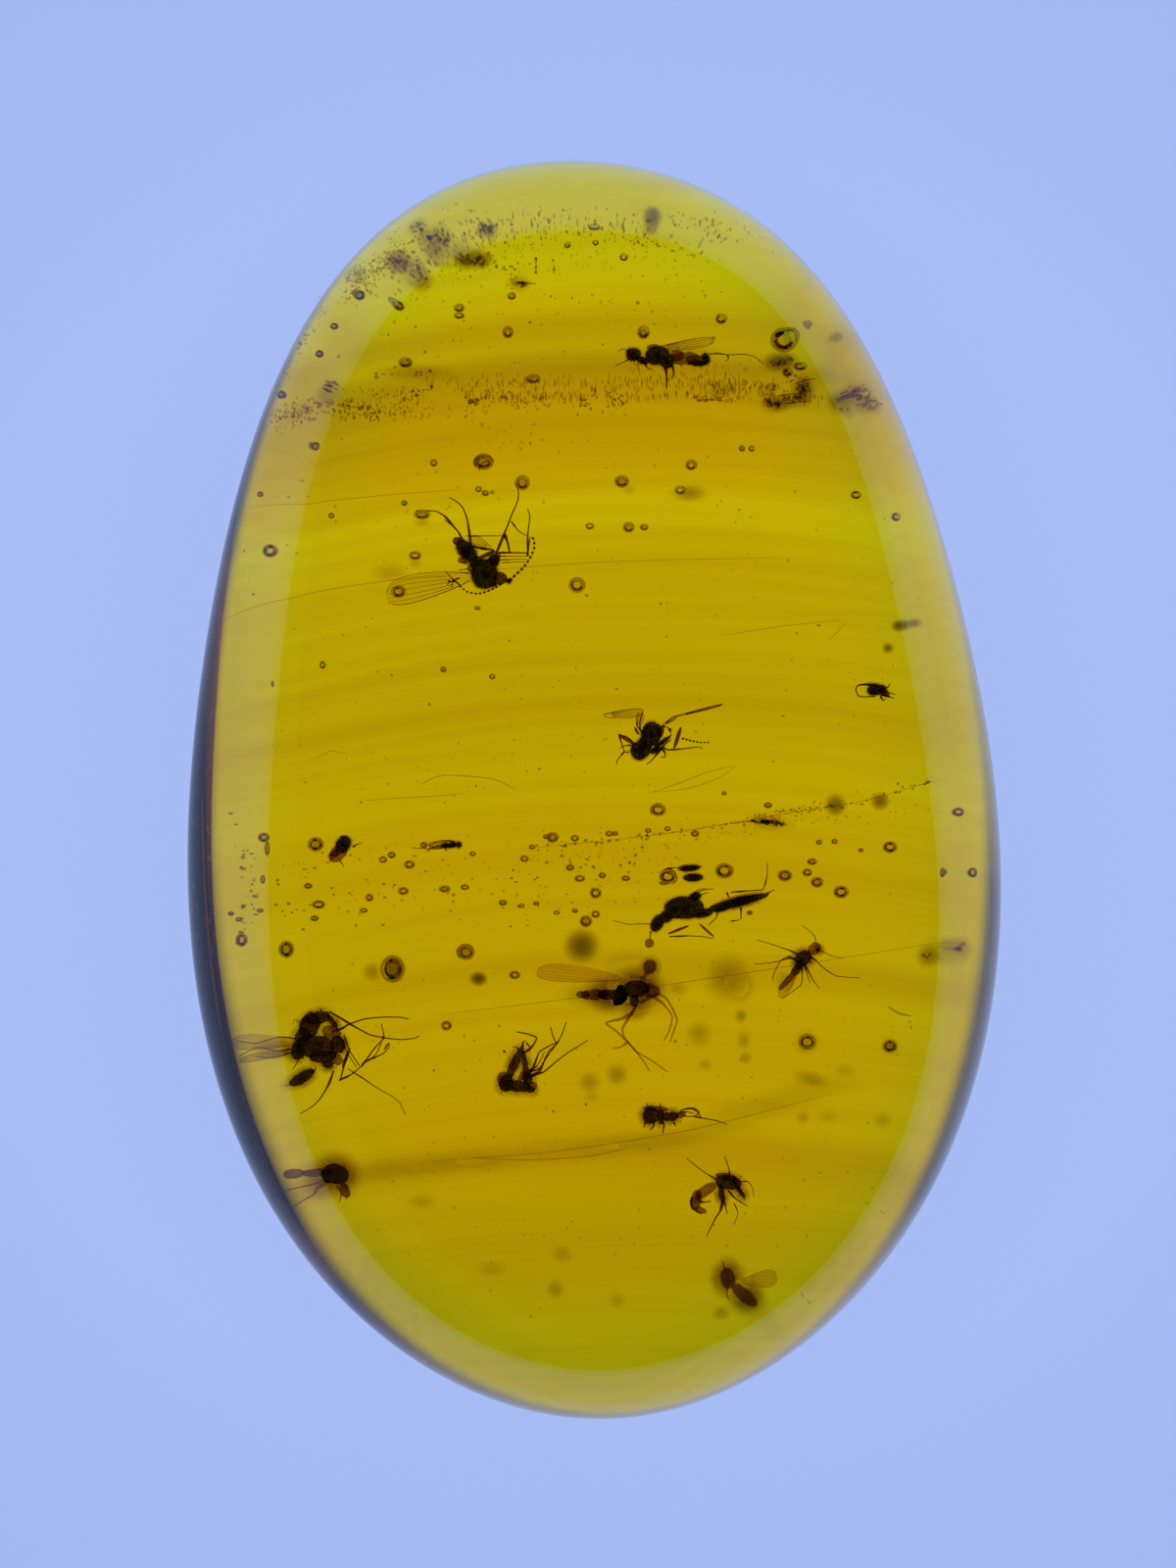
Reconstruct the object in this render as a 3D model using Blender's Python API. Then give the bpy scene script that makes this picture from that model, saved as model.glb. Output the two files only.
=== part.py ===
"""Egg-shaped drop of polished amber with a swarm of tiny insects sealed in it.

The stone lies on its flat back, with its long axis along Y and its thicker end toward -Y. It is one
clear piece in life. Here it is parted along the gently tilted layer that holds the insects, because
each insect or crumb lies in a pocket of its own. Lengths in the tables are in millimetres.
"""
import bpy
import bmesh
import math
from mathutils import Matrix, Vector

MM = 0.001

# Driving dimensions of the stone, in mm
HALF_WIDTH = 10.35        # of the ellipse that the outline grows from
HALF_LENGTH = 16.03
HEIGHT = 6.2              # at the middle of the dome
DOME_RISE = 1.2           # of the top face above its own edge
TOP_TILT = 0.4            # the +Y end is this much lower at the rim, the -Y end this much higher
SHOULDER_WIDTH = 1.69     # mean width of the rounding between the widest line and the top face
SHOULDER_SHARE = 0.87     # share of a quarter ellipse that the shoulder uses; less leaves a crease
GIRDLE_HEIGHT = 1.7       # height of the widest line where the back edge is tightest
GIRDLE_GROWTH = 1.5       # more height where the back edge is fullest
BACK_ROUNDING = 1.5       # width of the back edge where it is tightest
BACK_GROWTH = 2.2         # more width where it is fullest

# Layer along which the stone is parted, and the spaces left free, in mm
LAYER_HEIGHT = 3.0
LAYER_SLOPE = -0.02       # rise per mm toward +Y
HALF_GAP = 0.15
POCKET_MARGIN = 0.3

# The outline is an ellipse whose radius swells and shrinks by these few waves (cosine, sine)
OUTLINE_MEAN = 1.0046
OUTLINE_WAVES = [(-0.0105, -0.0119), (-0.0056, -0.0176), (0.0052, -0.0225),
                 (-0.0103, -0.0012), (0.0019, -0.0099)]

# The shoulder widens and narrows round the stone by these few waves (gain in mm, a crest's angle
# in degrees, crests)
SHOULDER_WAVES = [(0.3, 141, 1), (0.09, -8, 2), (0.08, -30, 3), (0.19, 5, 4)]

SIDES = 48                # facets round the stone
BACK_STEPS = 5
SHOULDER_STEPS = 5
FACE_STEPS = 3
CORE_INSET = 4.2          # past the widest back rounding, in mm

LUMP_SIDES = 6
LUMP_RINGS = 4
LIMB_SIDES = 3
WING_SIDES = 10
WING_THICKNESS = 0.05
LIMB_DROP = 0.12          # tips of neighbouring limbs lie this far above and below the body, in mm
POCKET_SIDES = 8
POCKET_CORNER = 0.84      # a box's corner touches a fourth-power oval at this share of its half size

AMBER_COLOUR = (0.62, 0.42, 0.03, 1.0)
INSECT_COLOUR = (0.035, 0.018, 0.008, 1.0)
DEBRIS_COLOUR = (0.10, 0.055, 0.015, 1.0)

# Each insect lies in the layer at place (x, y), lift above it.
# lumps: x, y, length, width, height, turn in degrees. They are head, thorax and abdomen.
# limbs: thickness at root and tip, and the points from root to tip. They are legs and antennae.
# wings: root, tip and width.
INSECTS = {
    "large_midge": dict(
        place=(-2.83, 5.46), lift=0.1,
        lumps=[
            (0.07, -0.12, 0.61, 0.78, 0.58, 0),
            (0.24, 0.12, 0.49, 0.34, 0.39, 60),
            (-0.27, 0.36, 0.63, 0.41, 0.39, -45),
            (-0.53, 0.63, 0.24, 0.24, 0.24, 0),
            (0.46, -0.29, 0.32, 0.29, 0.29, 0),
        ],
        limbs=[
            (0.07, 0.04, [(-0.24, 0.44), (-0.32, 0.85), (-0.36, 1.21), (-0.44, 1.48), (-0.58, 1.63),
                          (-0.8, 1.75)]),
            (0.07, 0.04, [(-0.39, 0.49), (-0.63, 0.97), (-0.87, 1.26), (-1.07, 1.39), (-1.58, 1.43)]),
            (0.07, 0.04, [(0.29, 0.19), (0.56, 0.8), (0.75, 1.24), (0.92, 1.82), (0.83, 2.11)]),
            (0.1, 0.07, [(0.51, 0.68), (0.63, 0.75), (0.73, 0.34)]),
            (0.07, 0.05, [(0.32, 0.24), (1.17, 0.34), (1.17, 0.85), (1.19, 1.21), (1.14, 1.46)]),
            (0.09, 0.07, [(-0.24, 0.51), (0.24, 0.49), (0.39, 0.34), (0.24, 0.22), (0, 0.15)]),
            (0.06, 0.04, [(0.51, -0.32), (0.97, -0.12), (1.21, 0.24), (1.31, 0.53), (1.29, 0.7)]),
            (0.06, 0.04, [(0.46, -0.41), (0.1, -0.63), (-0.19, -0.63), (-0.56, -0.44)]),
        ],
        wings=[
            ((-0.1, -0.34), (-2.28, -0.73), 0.68),
            ((0, 0.34), (-0.19, 0.78), 0.24),
        ],
    ),
    "wasp": dict(
        place=(1.3, 1.15), lift=-0.1,
        lumps=[
            (0.05, 0.1, 0.66, 0.68, 0.58, 0),
            (-0.22, -0.29, 0.44, 0.46, 0.41, 30),
            (0.22, 0.27, 0.32, 0.29, 0.29, 0),
        ],
        limbs=[
            (0.07, 0.04, [(-0.15, -0.12), (-0.73, 0.12), (-0.58, -0.32), (-0.8, -0.51), (-0.8, -0.63)]),
            (0.06, 0.04, [(-0.15, 0.05), (-0.36, 0.29)]),
            (0.1, 0.07, [(0.07, -0.12), (0.32, -0.02), (0.53, 0.15)]),
            (0.09, 0.12, [(0.17, -0.19), (0.61, -0.24), (0.8, 0.29)]),
            (0.07, 0.04, [(0.17, -0.12), (0.36, -0.17), (0, -0.58)]),
            (0.07, 0.04, [(0.15, -0.17), (0.61, -0.27), (0.95, -0.19), (1.21, -0.17), (1.34, -0.24)]),
            (0.06, 0.06, [(0.27, 0.32), (0.44, 0.36), (0.53, 0.24)]),
            (0.06, 0.05, [(0.27, 0.12), (0.66, 0.05), (1.07, -0.02), (1.48, -0.07)]),
        ],
        wings=[
            ((-0.17, 0.24), (-0.17, 0.73), 0.22),
            ((-0.12, 0.66), (-1.14, 0.58), 0.27),
            ((0.27, 0.29), (1.82, 0.9), 0.17),
        ],
    ),
    "long_bodied_fly": dict(
        place=(1.82, 10.69), lift=0,
        lumps=[
            (-0.27, 0.02, 0.63, 0.44, 0.44, 0),
            (-0.9, 0.1, 0.36, 0.29, 0.29, 0),
            (-0.66, -0.05, 0.39, 0.22, 0.22, 0),
            (-0.07, -0.17, 0.29, 0.34, 0.29, 0),
            (0.27, 0, 0.73, 0.32, 0.32, 0),
            (0.68, -0.07, 0.83, 0.29, 0.27, 4),
            (0.92, 0.02, 0.19, 0.29, 0.22, 0),
        ],
        limbs=[
            (0.07, 0.05, [(-0.07, -0.24), (-0.05, -0.78)]),
            (0.05, 0.04, [(-0.97, 0.02), (-1.34, -0.17)]),
            (0.05, 0.04, [(0.87, 0.07), (1.46, 0.15), (1.94, 0.1), (2.28, -0.1)]),
        ],
        wings=[
            ((-0.41, 0.19), (0.27, 0.36), 0.15),
        ],
    ),
    "beetle_fragment": dict(
        place=(6.86, 2.34), lift=0,
        lumps=[
            (0.1, 0, 0.58, 0.32, 0.29, -8),
            (-0.22, 0.02, 0.53, 0.32, 0.27, 0),
        ],
        limbs=[
            (0.07, 0.04, [(0.19, 0.1), (0.39, 0.17)]),
            (0.07, 0.04, [(0.24, -0.07), (0.49, -0.15)]),
            (0.06, 0.04, [(0.24, 0), (0.51, -0.05)]),
        ],
    ),
    "round_fly": dict(
        place=(-6.26, -1.57), lift=0,
        lumps=[
            (0.05, 0.1, 0.46, 0.34, 0.34, 35),
            (-0.05, -0.12, 0.44, 0.32, 0.29, 20),
        ],
        limbs=[
            (0.06, 0.04, [(0.12, 0.05), (0.29, 0.02), (0.51, 0.15)]),
        ],
        wings=[
            ((0, -0.02), (-0.29, -0.19), 0.19),
        ],
    ),
    "slender_midge": dict(
        place=(-3.73, -1.47), lift=0,
        lumps=[
            (0.24, 0.02, 0.22, 0.19, 0.19, 0),
            (0.36, 0.02, 0.17, 0.17, 0.17, 0),
            (-0.1, -0.05, 0.75, 0.11, 0.11, 3),
        ],
        limbs=[
            (0.06, 0.04, [(-0.34, -0.05), (-0.75, -0.07)]),
            (0.05, 0.05, [(0.02, -0.02), (0.07, -0.15)]),
        ],
        wings=[
            ((0.19, 0.05), (-0.39, 0.02), 0.17),
        ],
    ),
    "rove_beetle": dict(
        place=(2.61, -3.04), lift=0,
        lumps=[
            (-0.39, 0, 0.87, 0.56, 0.49, -3),
            (-0.85, -0.12, 0.58, 0.34, 0.32, 25),
            (-1.12, -0.39, 0.32, 0.41, 0.29, -20),
            (0.02, -0.12, 0.53, 0.24, 0.27, 0),
            (0.7, 0.1, 1.21, 0.32, 0.29, 12),
            (1.43, 0.32, 0.49, 0.19, 0.19, 13),
        ],
        limbs=[
            (0.09, 0.06, [(-0.22, 0.22), (-0.05, 0.39), (0.29, 0.49)]),
            (0.07, 0.04, [(-0.17, -0.19), (-0.36, -0.44), (-0.83, -0.63)]),
            (0.07, 0.04, [(-0.17, -0.19), (-0.02, -0.39), (0.32, -0.7)]),
            (0.06, 0.05, [(0.9, 0.07), (0.95, -0.27)]),
            (0.06, 0.04, [(0.63, 0.15), (0.63, 0.32), (0.51, 0.49)]),
            (0.05, 0.04, [(-1.14, -0.34), (-1.58, -0.36), (-1.92, -0.36), (-2.19, -0.29)]),
            (0.05, 0.04, [(-1.17, -0.44), (-1.29, -0.8)]),
            (0.06, 0.04, [(1.53, 0.32), (1.75, 0.46)]),
        ],
    ),
    "spread_midge": dict(
        place=(0.93, -5.06), lift=-0.2,
        lumps=[
            (0.07, 0.02, 0.87, 0.63, 0.58, 0),
            (0.05, -0.32, 0.36, 0.53, 0.36, 0),
            (-0.78, -0.1, 1.02, 0.36, 0.34, 2),
            (-1.21, -0.12, 0.39, 0.22, 0.22, 0),
            (0.39, 0.56, 0.32, 0.34, 0.32, 0),
        ],
        limbs=[
            (0.12, 0.1, [(0.22, 0.22), (0.39, 0.53)]),
            (0.1, 0.05, [(0.17, -0.32), (0.66, -0.12), (1.09, -0.7), (0.9, -1.09), (0.8, -1.34)]),
            (0.1, 0.05, [(0.07, -0.41), (-0.1, -0.66), (-0.68, -0.8), (-0.05, -1.39), (0.36, -1.99)]),
            (0.07, 0.04, [(0.12, -0.36), (0, -0.7), (-0.27, -0.95), (0.07, -1.53), (0.83, -2.04)]),
        ],
        wings=[
            ((-0.07, 0.17), (-2.36, 0.39), 0.53),
            ((0.24, 0.02), (1.26, 0), 0.34),
        ],
    ),
    "long_legged_midge": dict(
        place=(5.08, -4.34), lift=-0.1,
        lumps=[
            (0, 0.02, 0.53, 0.44, 0.41, 20),
            (0.27, 0.27, 0.49, 0.29, 0.29, 42),
            (0.44, 0.22, 0.19, 0.17, 0.17, 0),
            (-0.34, -0.46, 0.78, 0.22, 0.22, 48),
        ],
        limbs=[
            (0.06, 0.04, [(-0.07, 0.12), (-0.44, 0.27), (-1.12, 0.53)]),
            (0.06, 0.04, [(-0.15, -0.02), (-0.44, 0.02), (-0.61, -0.12), (-0.73, -0.36)]),
            (0.06, 0.04, [(0.1, 0.05), (0.41, -0.15), (0.85, -0.39), (1.41, -0.44)]),
            (0.05, 0.04, [(0.32, 0.32), (0.29, 0.61), (-0.05, 0.92)]),
            (0.05, 0.04, [(0.39, 0.27), (0.78, 0.1), (1.09, -0.02)]),
            (0.06, 0.04, [(-0.02, -0.05), (-0.02, -0.41), (-0.05, -0.63)]),
            (0.06, 0.04, [(0.02, -0.05), (0.24, -0.32), (0.49, -0.61)]),
        ],
        wings=[
            ((-0.1, -0.17), (-0.41, -0.85), 0.27),
        ],
    ),
    "big_fly": dict(
        place=(-6.73, -6.3), lift=0,
        lumps=[
            (-0.1, -0.07, 1.07, 0.83, 0.68, 0),
            (-0.12, 0.41, 0.78, 0.58, 0.53, 10),
            (0.36, -0.17, 0.63, 0.53, 0.49, -10),
            (0.12, -0.58, 0.39, 0.44, 0.36, 0),
            (-0.53, -0.39, 0.39, 0.34, 0.34, 0),
        ],
        limbs=[
            (0.07, 0.05, [(0.24, 0.19), (0.87, 0.46), (1.43, 0.53), (2.11, 0.51)]),
            (0.07, 0.05, [(0.29, 0.34), (0.63, 0.34), (1.24, 0.1), (1.92, -0.02), (2.45, 0.1)]),
            (0.12, 0.1, [(0.58, -0.24), (0.63, -0.46), (0.41, -1.02)]),
            (0.07, 0.05, [(0.49, -0.49), (0.92, -0.7), (1.31, -0.22), (1.51, 0.02), (1.43, 0.41)]),
            (0.07, 0.04, [(0.19, -0.58), (-0.1, -1.46), (-0.56, -1.85)]),
            (0.06, 0.04, [(0.46, -0.39), (0.78, -0.58), (1.19, -0.46), (1.68, -0.12)]),
        ],
        wings=[
            ((-0.39, -0.15), (-1.99, -0.19), 0.63),
        ],
    ),
    "loose_abdomen": dict(
        place=(-7.22, -7.28), lift=0,
        lumps=[
            (0, 0, 0.68, 0.24, 0.24, 28),
        ],
        limbs=[
            (0.07, 0.05, [(0.15, 0.1), (0.32, 0.24)]),
        ],
    ),
    "folded_midge": dict(
        place=(-1.94, -7.11), lift=-0.1,
        lumps=[
            (-0.12, -0.27, 0.63, 0.53, 0.44, 0),
            (0.19, -0.27, 0.49, 0.61, 0.41, 15),
            (0, 0.27, 0.97, 0.27, 0.27, 63),
            (0.24, 0.05, 0.63, 0.22, 0.24, 105),
        ],
        limbs=[
            (0.07, 0.04, [(0.19, -0.15), (0.58, 0.05), (0.73, 0.46), (1, 0.75), (0.83, 1.12)]),
            (0.07, 0.04, [(0.17, -0.19), (0.66, 0.02), (1.26, 0.49), (1.75, 0.8)]),
            (0.07, 0.05, [(0.12, 0.46), (0.36, 0.61), (0.46, 0.85), (0, 1)]),
            (0.07, 0.04, [(0.22, -0.02), (0.44, 0.15), (0.56, 0.53), (1, 0.73), (1.21, 1.24)]),
        ],
    ),
    "edge_gnat": dict(
        place=(-6.41, -9.73), lift=0,
        lumps=[
            (0, 0.1, 0.66, 0.46, 0.41, -10),
            (0.12, -0.12, 0.44, 0.44, 0.39, 0),
        ],
        limbs=[
            (0.06, 0.04, [(-0.15, -0.02), (-0.49, -0.1), (-0.97, -0.1)]),
            (0.07, 0.04, [(-0.12, -0.07), (-0.29, -0.32), (-0.78, -0.61)]),
        ],
        wings=[
            ((-0.19, 0.17), (-0.95, 0.24), 0.19),
            ((0.15, -0.17), (0.15, -0.66), 0.19),
        ],
    ),
    "broken_gnat": dict(
        place=(1.58, -8.21), lift=-0.1,
        lumps=[
            (-0.19, 0.02, 0.46, 0.44, 0.36, 0),
            (0.02, 0.02, 0.24, 0.49, 0.34, 0),
            (0.34, 0.05, 0.44, 0.24, 0.24, 0),
        ],
        limbs=[
            (0.07, 0.05, [(-0.15, -0.07), (-0.19, -0.36)]),
            (0.07, 0.05, [(0.1, -0.05), (0.12, -0.27)]),
            (0.07, 0.07, [(0.44, 0.02), (0.73, 0), (0.97, 0.17)]),
            (0.06, 0.04, [(0.49, 0), (1.04, -0.02), (1.7, -0.19)]),
        ],
    ),
    "curled_gnat": dict(
        place=(3.17, -10.01), lift=-0.1,
        lumps=[
            (0.07, 0.12, 0.68, 0.44, 0.39, -10),
            (-0.02, -0.1, 0.36, 0.49, 0.32, 0),
            (0.34, 0, 0.44, 0.22, 0.22, -50),
        ],
        limbs=[
            (0.17, 0.12, [(-0.15, 0.12), (-0.53, 0.05), (-0.75, -0.19), (-0.78, -0.41), (-0.56, -0.56)]),
            (0.1, 0.05, [(-0.02, -0.22), (-0.07, -0.56), (-0.29, -0.95)]),
            (0.07, 0.04, [(0.1, -0.05), (0.27, -0.27), (0.58, -0.46)]),
            (0.07, 0.04, [(0.34, 0.05), (0.51, -0.22)]),
            (0.05, 0.04, [(-0.12, 0.17), (-0.53, 0.36), (-0.9, 0.68)]),
            (0.05, 0.04, [(0.15, 0.22), (0.12, 0.41), (0, 0.8)]),
        ],
    ),
    "winged_gnat": dict(
        place=(3.58, -12.5), lift=-0.2,
        lumps=[
            (-0.27, 0.17, 0.49, 0.58, 0.41, 0),
            (-0.24, 0.49, 0.27, 0.29, 0.24, 0),
            (0.15, -0.22, 0.83, 0.36, 0.34, -45),
        ],
        limbs=[
            (0.07, 0.05, [(-0.24, 0.39), (-0.41, 0.66)]),
        ],
        wings=[
            ((-0.02, 0.02), (0.85, 0.29), 0.44),
        ],
    ),
    "brown_pair": dict(
        place=(8.39, -4.11), lift=-0.1,
        lumps=[
            (-0.22, -0.1, 0.32, 0.29, 0.24, 0),
            (0.22, 0.1, 0.39, 0.32, 0.27, 0),
        ],
        limbs=[
            (0.12, 0.12, [(-0.22, -0.1), (0.22, 0.1)]),
        ],
    ),
}

# Dark crumbs of bark and dust large enough to show as shapes, in the same terms
CRUMBS = {
    "bar_debris": dict(
        place=(4.78, 9.72), lift=0,
        lumps=[
            (0.15, -0.02, 0.87, 0.22, 0.22, 0),
            (-0.41, -0.15, 0.49, 0.19, 0.19, 0),
            (0.36, 0.24, 0.39, 0.24, 0.22, -15),
        ],
        limbs=[
            (0.17, 0.17, [(-0.41, -0.12), (-0.17, -0.02)]),
            (0.17, 0.17, [(0.36, 0.24), (0.44, 0.02)]),
        ],
    ),
    "smear_debris": dict(
        place=(4.59, 10.63), lift=0,
        lumps=[
            (-0.1, 0, 0.44, 0.19, 0.19, 8),
            (0.17, 0.07, 0.29, 0.15, 0.17, 10),
        ],
    ),
    "edge_debris": dict(
        place=(6.14, 9.6), lift=0,
        lumps=[
            (-0.02, 0.05, 0.63, 0.22, 0.22, 0),
            (0.24, -0.22, 0.34, 0.22, 0.19, 0),
        ],
        limbs=[
            (0.12, 0.12, [(0.02, 0.05), (0.24, -0.22)]),
        ],
    ),
    "left_crumb": dict(
        place=(-4.49, 12.84), lift=0,
        lumps=[
            (-0.19, 0.1, 0.46, 0.34, 0.29, 0),
            (0.19, -0.15, 0.34, 0.34, 0.29, 0),
        ],
        limbs=[
            (0.19, 0.19, [(-0.19, 0.1), (0.19, -0.15)]),
        ],
    ),
    "upper_crumb": dict(
        place=(-3.79, 13.46), lift=0,
        lumps=[
            (0.02, -0.05, 0.58, 0.36, 0.29, 20),
        ],
    ),
    "bar_crumb": dict(
        place=(-3.06, 13.16), lift=0,
        lumps=[
            (-0.17, -0.02, 0.44, 0.17, 0.19, 0),
            (0.19, 0.02, 0.46, 0.19, 0.19, 0),
        ],
    ),
    "dark_crumb": dict(
        place=(-1.9, 12.58), lift=0,
        lumps=[
            (0, 0, 0.39, 0.17, 0.17, -5),
        ],
    ),
    "flake": dict(
        place=(4.25, -0.9), lift=0,
        lumps=[
            (0, 0, 0.92, 0.15, 0.15, -4),
        ],
    ),
    "dark_lens": dict(
        place=(2.34, -2.15), lift=0,
        lumps=[
            (0.05, -0.12, 0.49, 0.22, 0.22, 0),
            (-0.02, 0.12, 0.58, 0.17, 0.19, 8),
        ],
        limbs=[
            (0.1, 0.1, [(0.05, -0.12), (-0.02, 0.12)]),
        ],
    ),
}


def clear_scene():
    for thing in list(bpy.data.objects):
        bpy.data.objects.remove(thing, do_unlink=True)


def make_material(name, colour, roughness, transmission=0.0):
    material = bpy.data.materials.new(name)
    material.use_nodes = True
    shader = material.node_tree.nodes["Principled BSDF"]
    shader.inputs["Base Color"].default_value = colour
    shader.inputs["Roughness"].default_value = roughness
    shader.inputs["Transmission Weight"].default_value = transmission
    material.diffuse_color = colour
    return material


def add_object(name, shape, material, collection=None):
    """Puts a bmesh, in mm, into the scene as an object in metres."""
    bmesh.ops.scale(shape, vec=(MM, MM, MM), verts=shape.verts)
    bmesh.ops.recalc_face_normals(shape, faces=shape.faces)
    mesh = bpy.data.meshes.new(name)
    shape.to_mesh(mesh)
    shape.free()
    mesh.shade_smooth()
    mesh.set_sharp_from_angle(angle=math.radians(35))
    mesh.materials.append(material)
    piece = bpy.data.objects.new(name, mesh)
    (collection or bpy.context.scene.collection).objects.link(piece)
    return piece


def as_cutter(piece):
    piece.hide_render = True
    piece.display_type = "WIRE"
    return piece


def outline_factor(angle):
    factor = OUTLINE_MEAN
    for order, (cosine, sine) in enumerate(OUTLINE_WAVES, 1):
        factor += cosine * math.cos(order * angle) + sine * math.sin(order * angle)
    return factor


def raw_outline(angle):
    factor = outline_factor(angle)
    return Vector((HALF_WIDTH * factor * math.cos(angle), HALF_LENGTH * factor * math.sin(angle)))


def outline_middle():
    """Middle of the outline's own box, which goes to the origin."""
    points = [raw_outline(math.radians(step * 0.1)) for step in range(3600)]
    xs = [point.x for point in points]
    ys = [point.y for point in points]
    return Vector(((max(xs) + min(xs)) / 2, (max(ys) + min(ys)) / 2))


MIDDLE = outline_middle()


def edge_point(angle, inset):
    """Point of the outline moved inwards, square to it."""
    step = 0.0005
    along = (raw_outline(angle + step) - raw_outline(angle - step)).normalized()
    inward = Vector((-along.y, along.x))
    return raw_outline(angle) - MIDDLE + inward * inset


def fullness(angle):
    """0 where the back edge is tight, 1 where it is full, at the -X side and the -Y end."""
    wide = 0.43 * math.cos(angle - math.radians(228))
    oval = 0.23 * math.cos(2 * (angle - math.radians(12)))
    return 0.41 + wide + oval


def shoulder_width(angle):
    """How far in from the outline the shoulder ends."""
    width = SHOULDER_WIDTH
    for gain, crest, crests in SHOULDER_WAVES:
        width += gain * math.cos(crests * (angle - math.radians(crest)))
    return width


def dome_height(point):
    """Top face: a tilted plane with a low dome on it that ends at the outline."""
    x = point.x + MIDDLE.x
    y = point.y + MIDDLE.y
    angle = math.atan2(y / HALF_LENGTH, x / HALF_WIDTH)
    share = math.hypot(x / HALF_WIDTH, y / HALF_LENGTH) / outline_factor(angle)
    plane = HEIGHT - DOME_RISE - TOP_TILT * point.y / HALF_LENGTH
    return plane, DOME_RISE * (1 - min(share, 1.0) ** 2)


def stone_rings():
    """Rings of points from the flat back, round the widest line, over the shoulder and inwards."""
    angles = [2 * math.pi * side / SIDES for side in range(SIDES)]
    rings = []
    for step in range(BACK_STEPS + 1):
        sweep = math.pi / 2 * (1 - step / BACK_STEPS)
        ring = []
        for angle in angles:
            width = BACK_ROUNDING + BACK_GROWTH * fullness(angle)
            girdle = GIRDLE_HEIGHT + GIRDLE_GROWTH * fullness(angle)
            point = edge_point(angle, width * (1 - math.cos(sweep)))
            ring.append((point.x, point.y, girdle * (1 - math.sin(sweep))))
        rings.append(ring)
    last_sweep = math.acos(1 - SHOULDER_SHARE)
    for step in range(1, SHOULDER_STEPS + 1):
        sweep = last_sweep * step / SHOULDER_STEPS
        share_in = (1 - math.cos(sweep)) / SHOULDER_SHARE
        ring = []
        for angle in angles:
            girdle = GIRDLE_HEIGHT + GIRDLE_GROWTH * fullness(angle)
            point = edge_point(angle, share_in * shoulder_width(angle))
            plane, dome = dome_height(point)
            rise = math.sin(sweep) / math.sin(last_sweep)
            ring.append((point.x, point.y, girdle + (plane - girdle) * rise + dome))
        rings.append(ring)
    for step in range(FACE_STEPS):
        ring = []
        for angle in angles:
            point = edge_point(angle, CORE_INSET) * (1 - step / FACE_STEPS)
            plane, dome = dome_height(point)
            ring.append((point.x, point.y, plane + dome))
        rings.append(ring)
    return rings


def stone_shape():
    shape = bmesh.new()
    rings = [[shape.verts.new(point) for point in ring] for ring in stone_rings()]
    for lower, upper in zip(rings, rings[1:]):
        for side in range(SIDES):
            following = (side + 1) % SIDES
            shape.faces.new((lower[side], lower[following], upper[following], upper[side]))
    shape.faces.new(list(reversed(rings[0])))
    top = shape.verts.new((0, 0, HEIGHT))
    for side in range(SIDES):
        shape.faces.new((rings[-1][side], rings[-1][(side + 1) % SIDES], top))
    return shape


def layer_height(x, y):
    return LAYER_HEIGHT + LAYER_SLOPE * y


def half_stone(name, side, material):
    """The stone cut by the layer; side is 1 for the half above it and -1 for the one below."""
    shape = stone_shape()
    up = Vector((0, -LAYER_SLOPE, 1)).normalized()
    cut = bmesh.ops.bisect_plane(
        shape, geom=shape.verts[:] + shape.edges[:] + shape.faces[:],
        plane_co=Vector((0, 0, LAYER_HEIGHT)) + up * side * HALF_GAP, plane_no=up * side,
        clear_inner=True)
    rim = [part for part in cut["geom_cut"] if isinstance(part, bmesh.types.BMEdge)]
    bmesh.ops.contextual_create(shape, geom=rim)
    bmesh.ops.triangulate(shape, faces=shape.faces)
    return add_object(name, shape, material)


def add_lump(shape, lump):
    """Oval ball with its own length, width, height and turn."""
    x, y, length, width, height, turn = lump
    place = Matrix.Translation((x, y, 0)) @ Matrix.Rotation(math.radians(turn), 4, "Z")
    size = Matrix.Diagonal((length / 2, width / 2, height / 2, 1))
    along_x = Matrix.Rotation(math.pi / 2, 4, "Y")
    bmesh.ops.create_uvsphere(shape, u_segments=LUMP_SIDES, v_segments=LUMP_RINGS, radius=1,
                              matrix=place @ size @ along_x)


def limb_depths(count, index):
    """Heights along a limb: even limbs rise toward the tip and odd ones sink."""
    drop = LIMB_DROP if index % 2 else -LIMB_DROP
    return [drop * step / (count - 1) for step in range(count)]


def add_limb(shape, root, tip, points, index):
    """Tapering tube along the points, closed at both ends."""
    path = [Vector((x, y, z)) for (x, y), z in zip(points, limb_depths(len(points), index))]
    rings = []
    for step, point in enumerate(path):
        before = path[max(step - 1, 0)]
        after = path[min(step + 1, len(path) - 1)]
        along = (after - before).normalized()
        across = along.cross(Vector((0, 0, 1))).normalized()
        upward = across.cross(along)
        share = step / (len(path) - 1)
        radius = (root + (tip - root) * share) / 2
        ring = []
        for side in range(LIMB_SIDES):
            angle = 2 * math.pi * side / LIMB_SIDES
            offset = across * math.cos(angle) + upward * math.sin(angle)
            ring.append(shape.verts.new(point + offset * radius))
        rings.append(ring)
    for first, second in zip(rings, rings[1:]):
        for side in range(LIMB_SIDES):
            following = (side + 1) % LIMB_SIDES
            shape.faces.new((first[side], first[following], second[following], second[side]))
    shape.faces.new(list(reversed(rings[0])))
    shape.faces.new(rings[-1])


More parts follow.
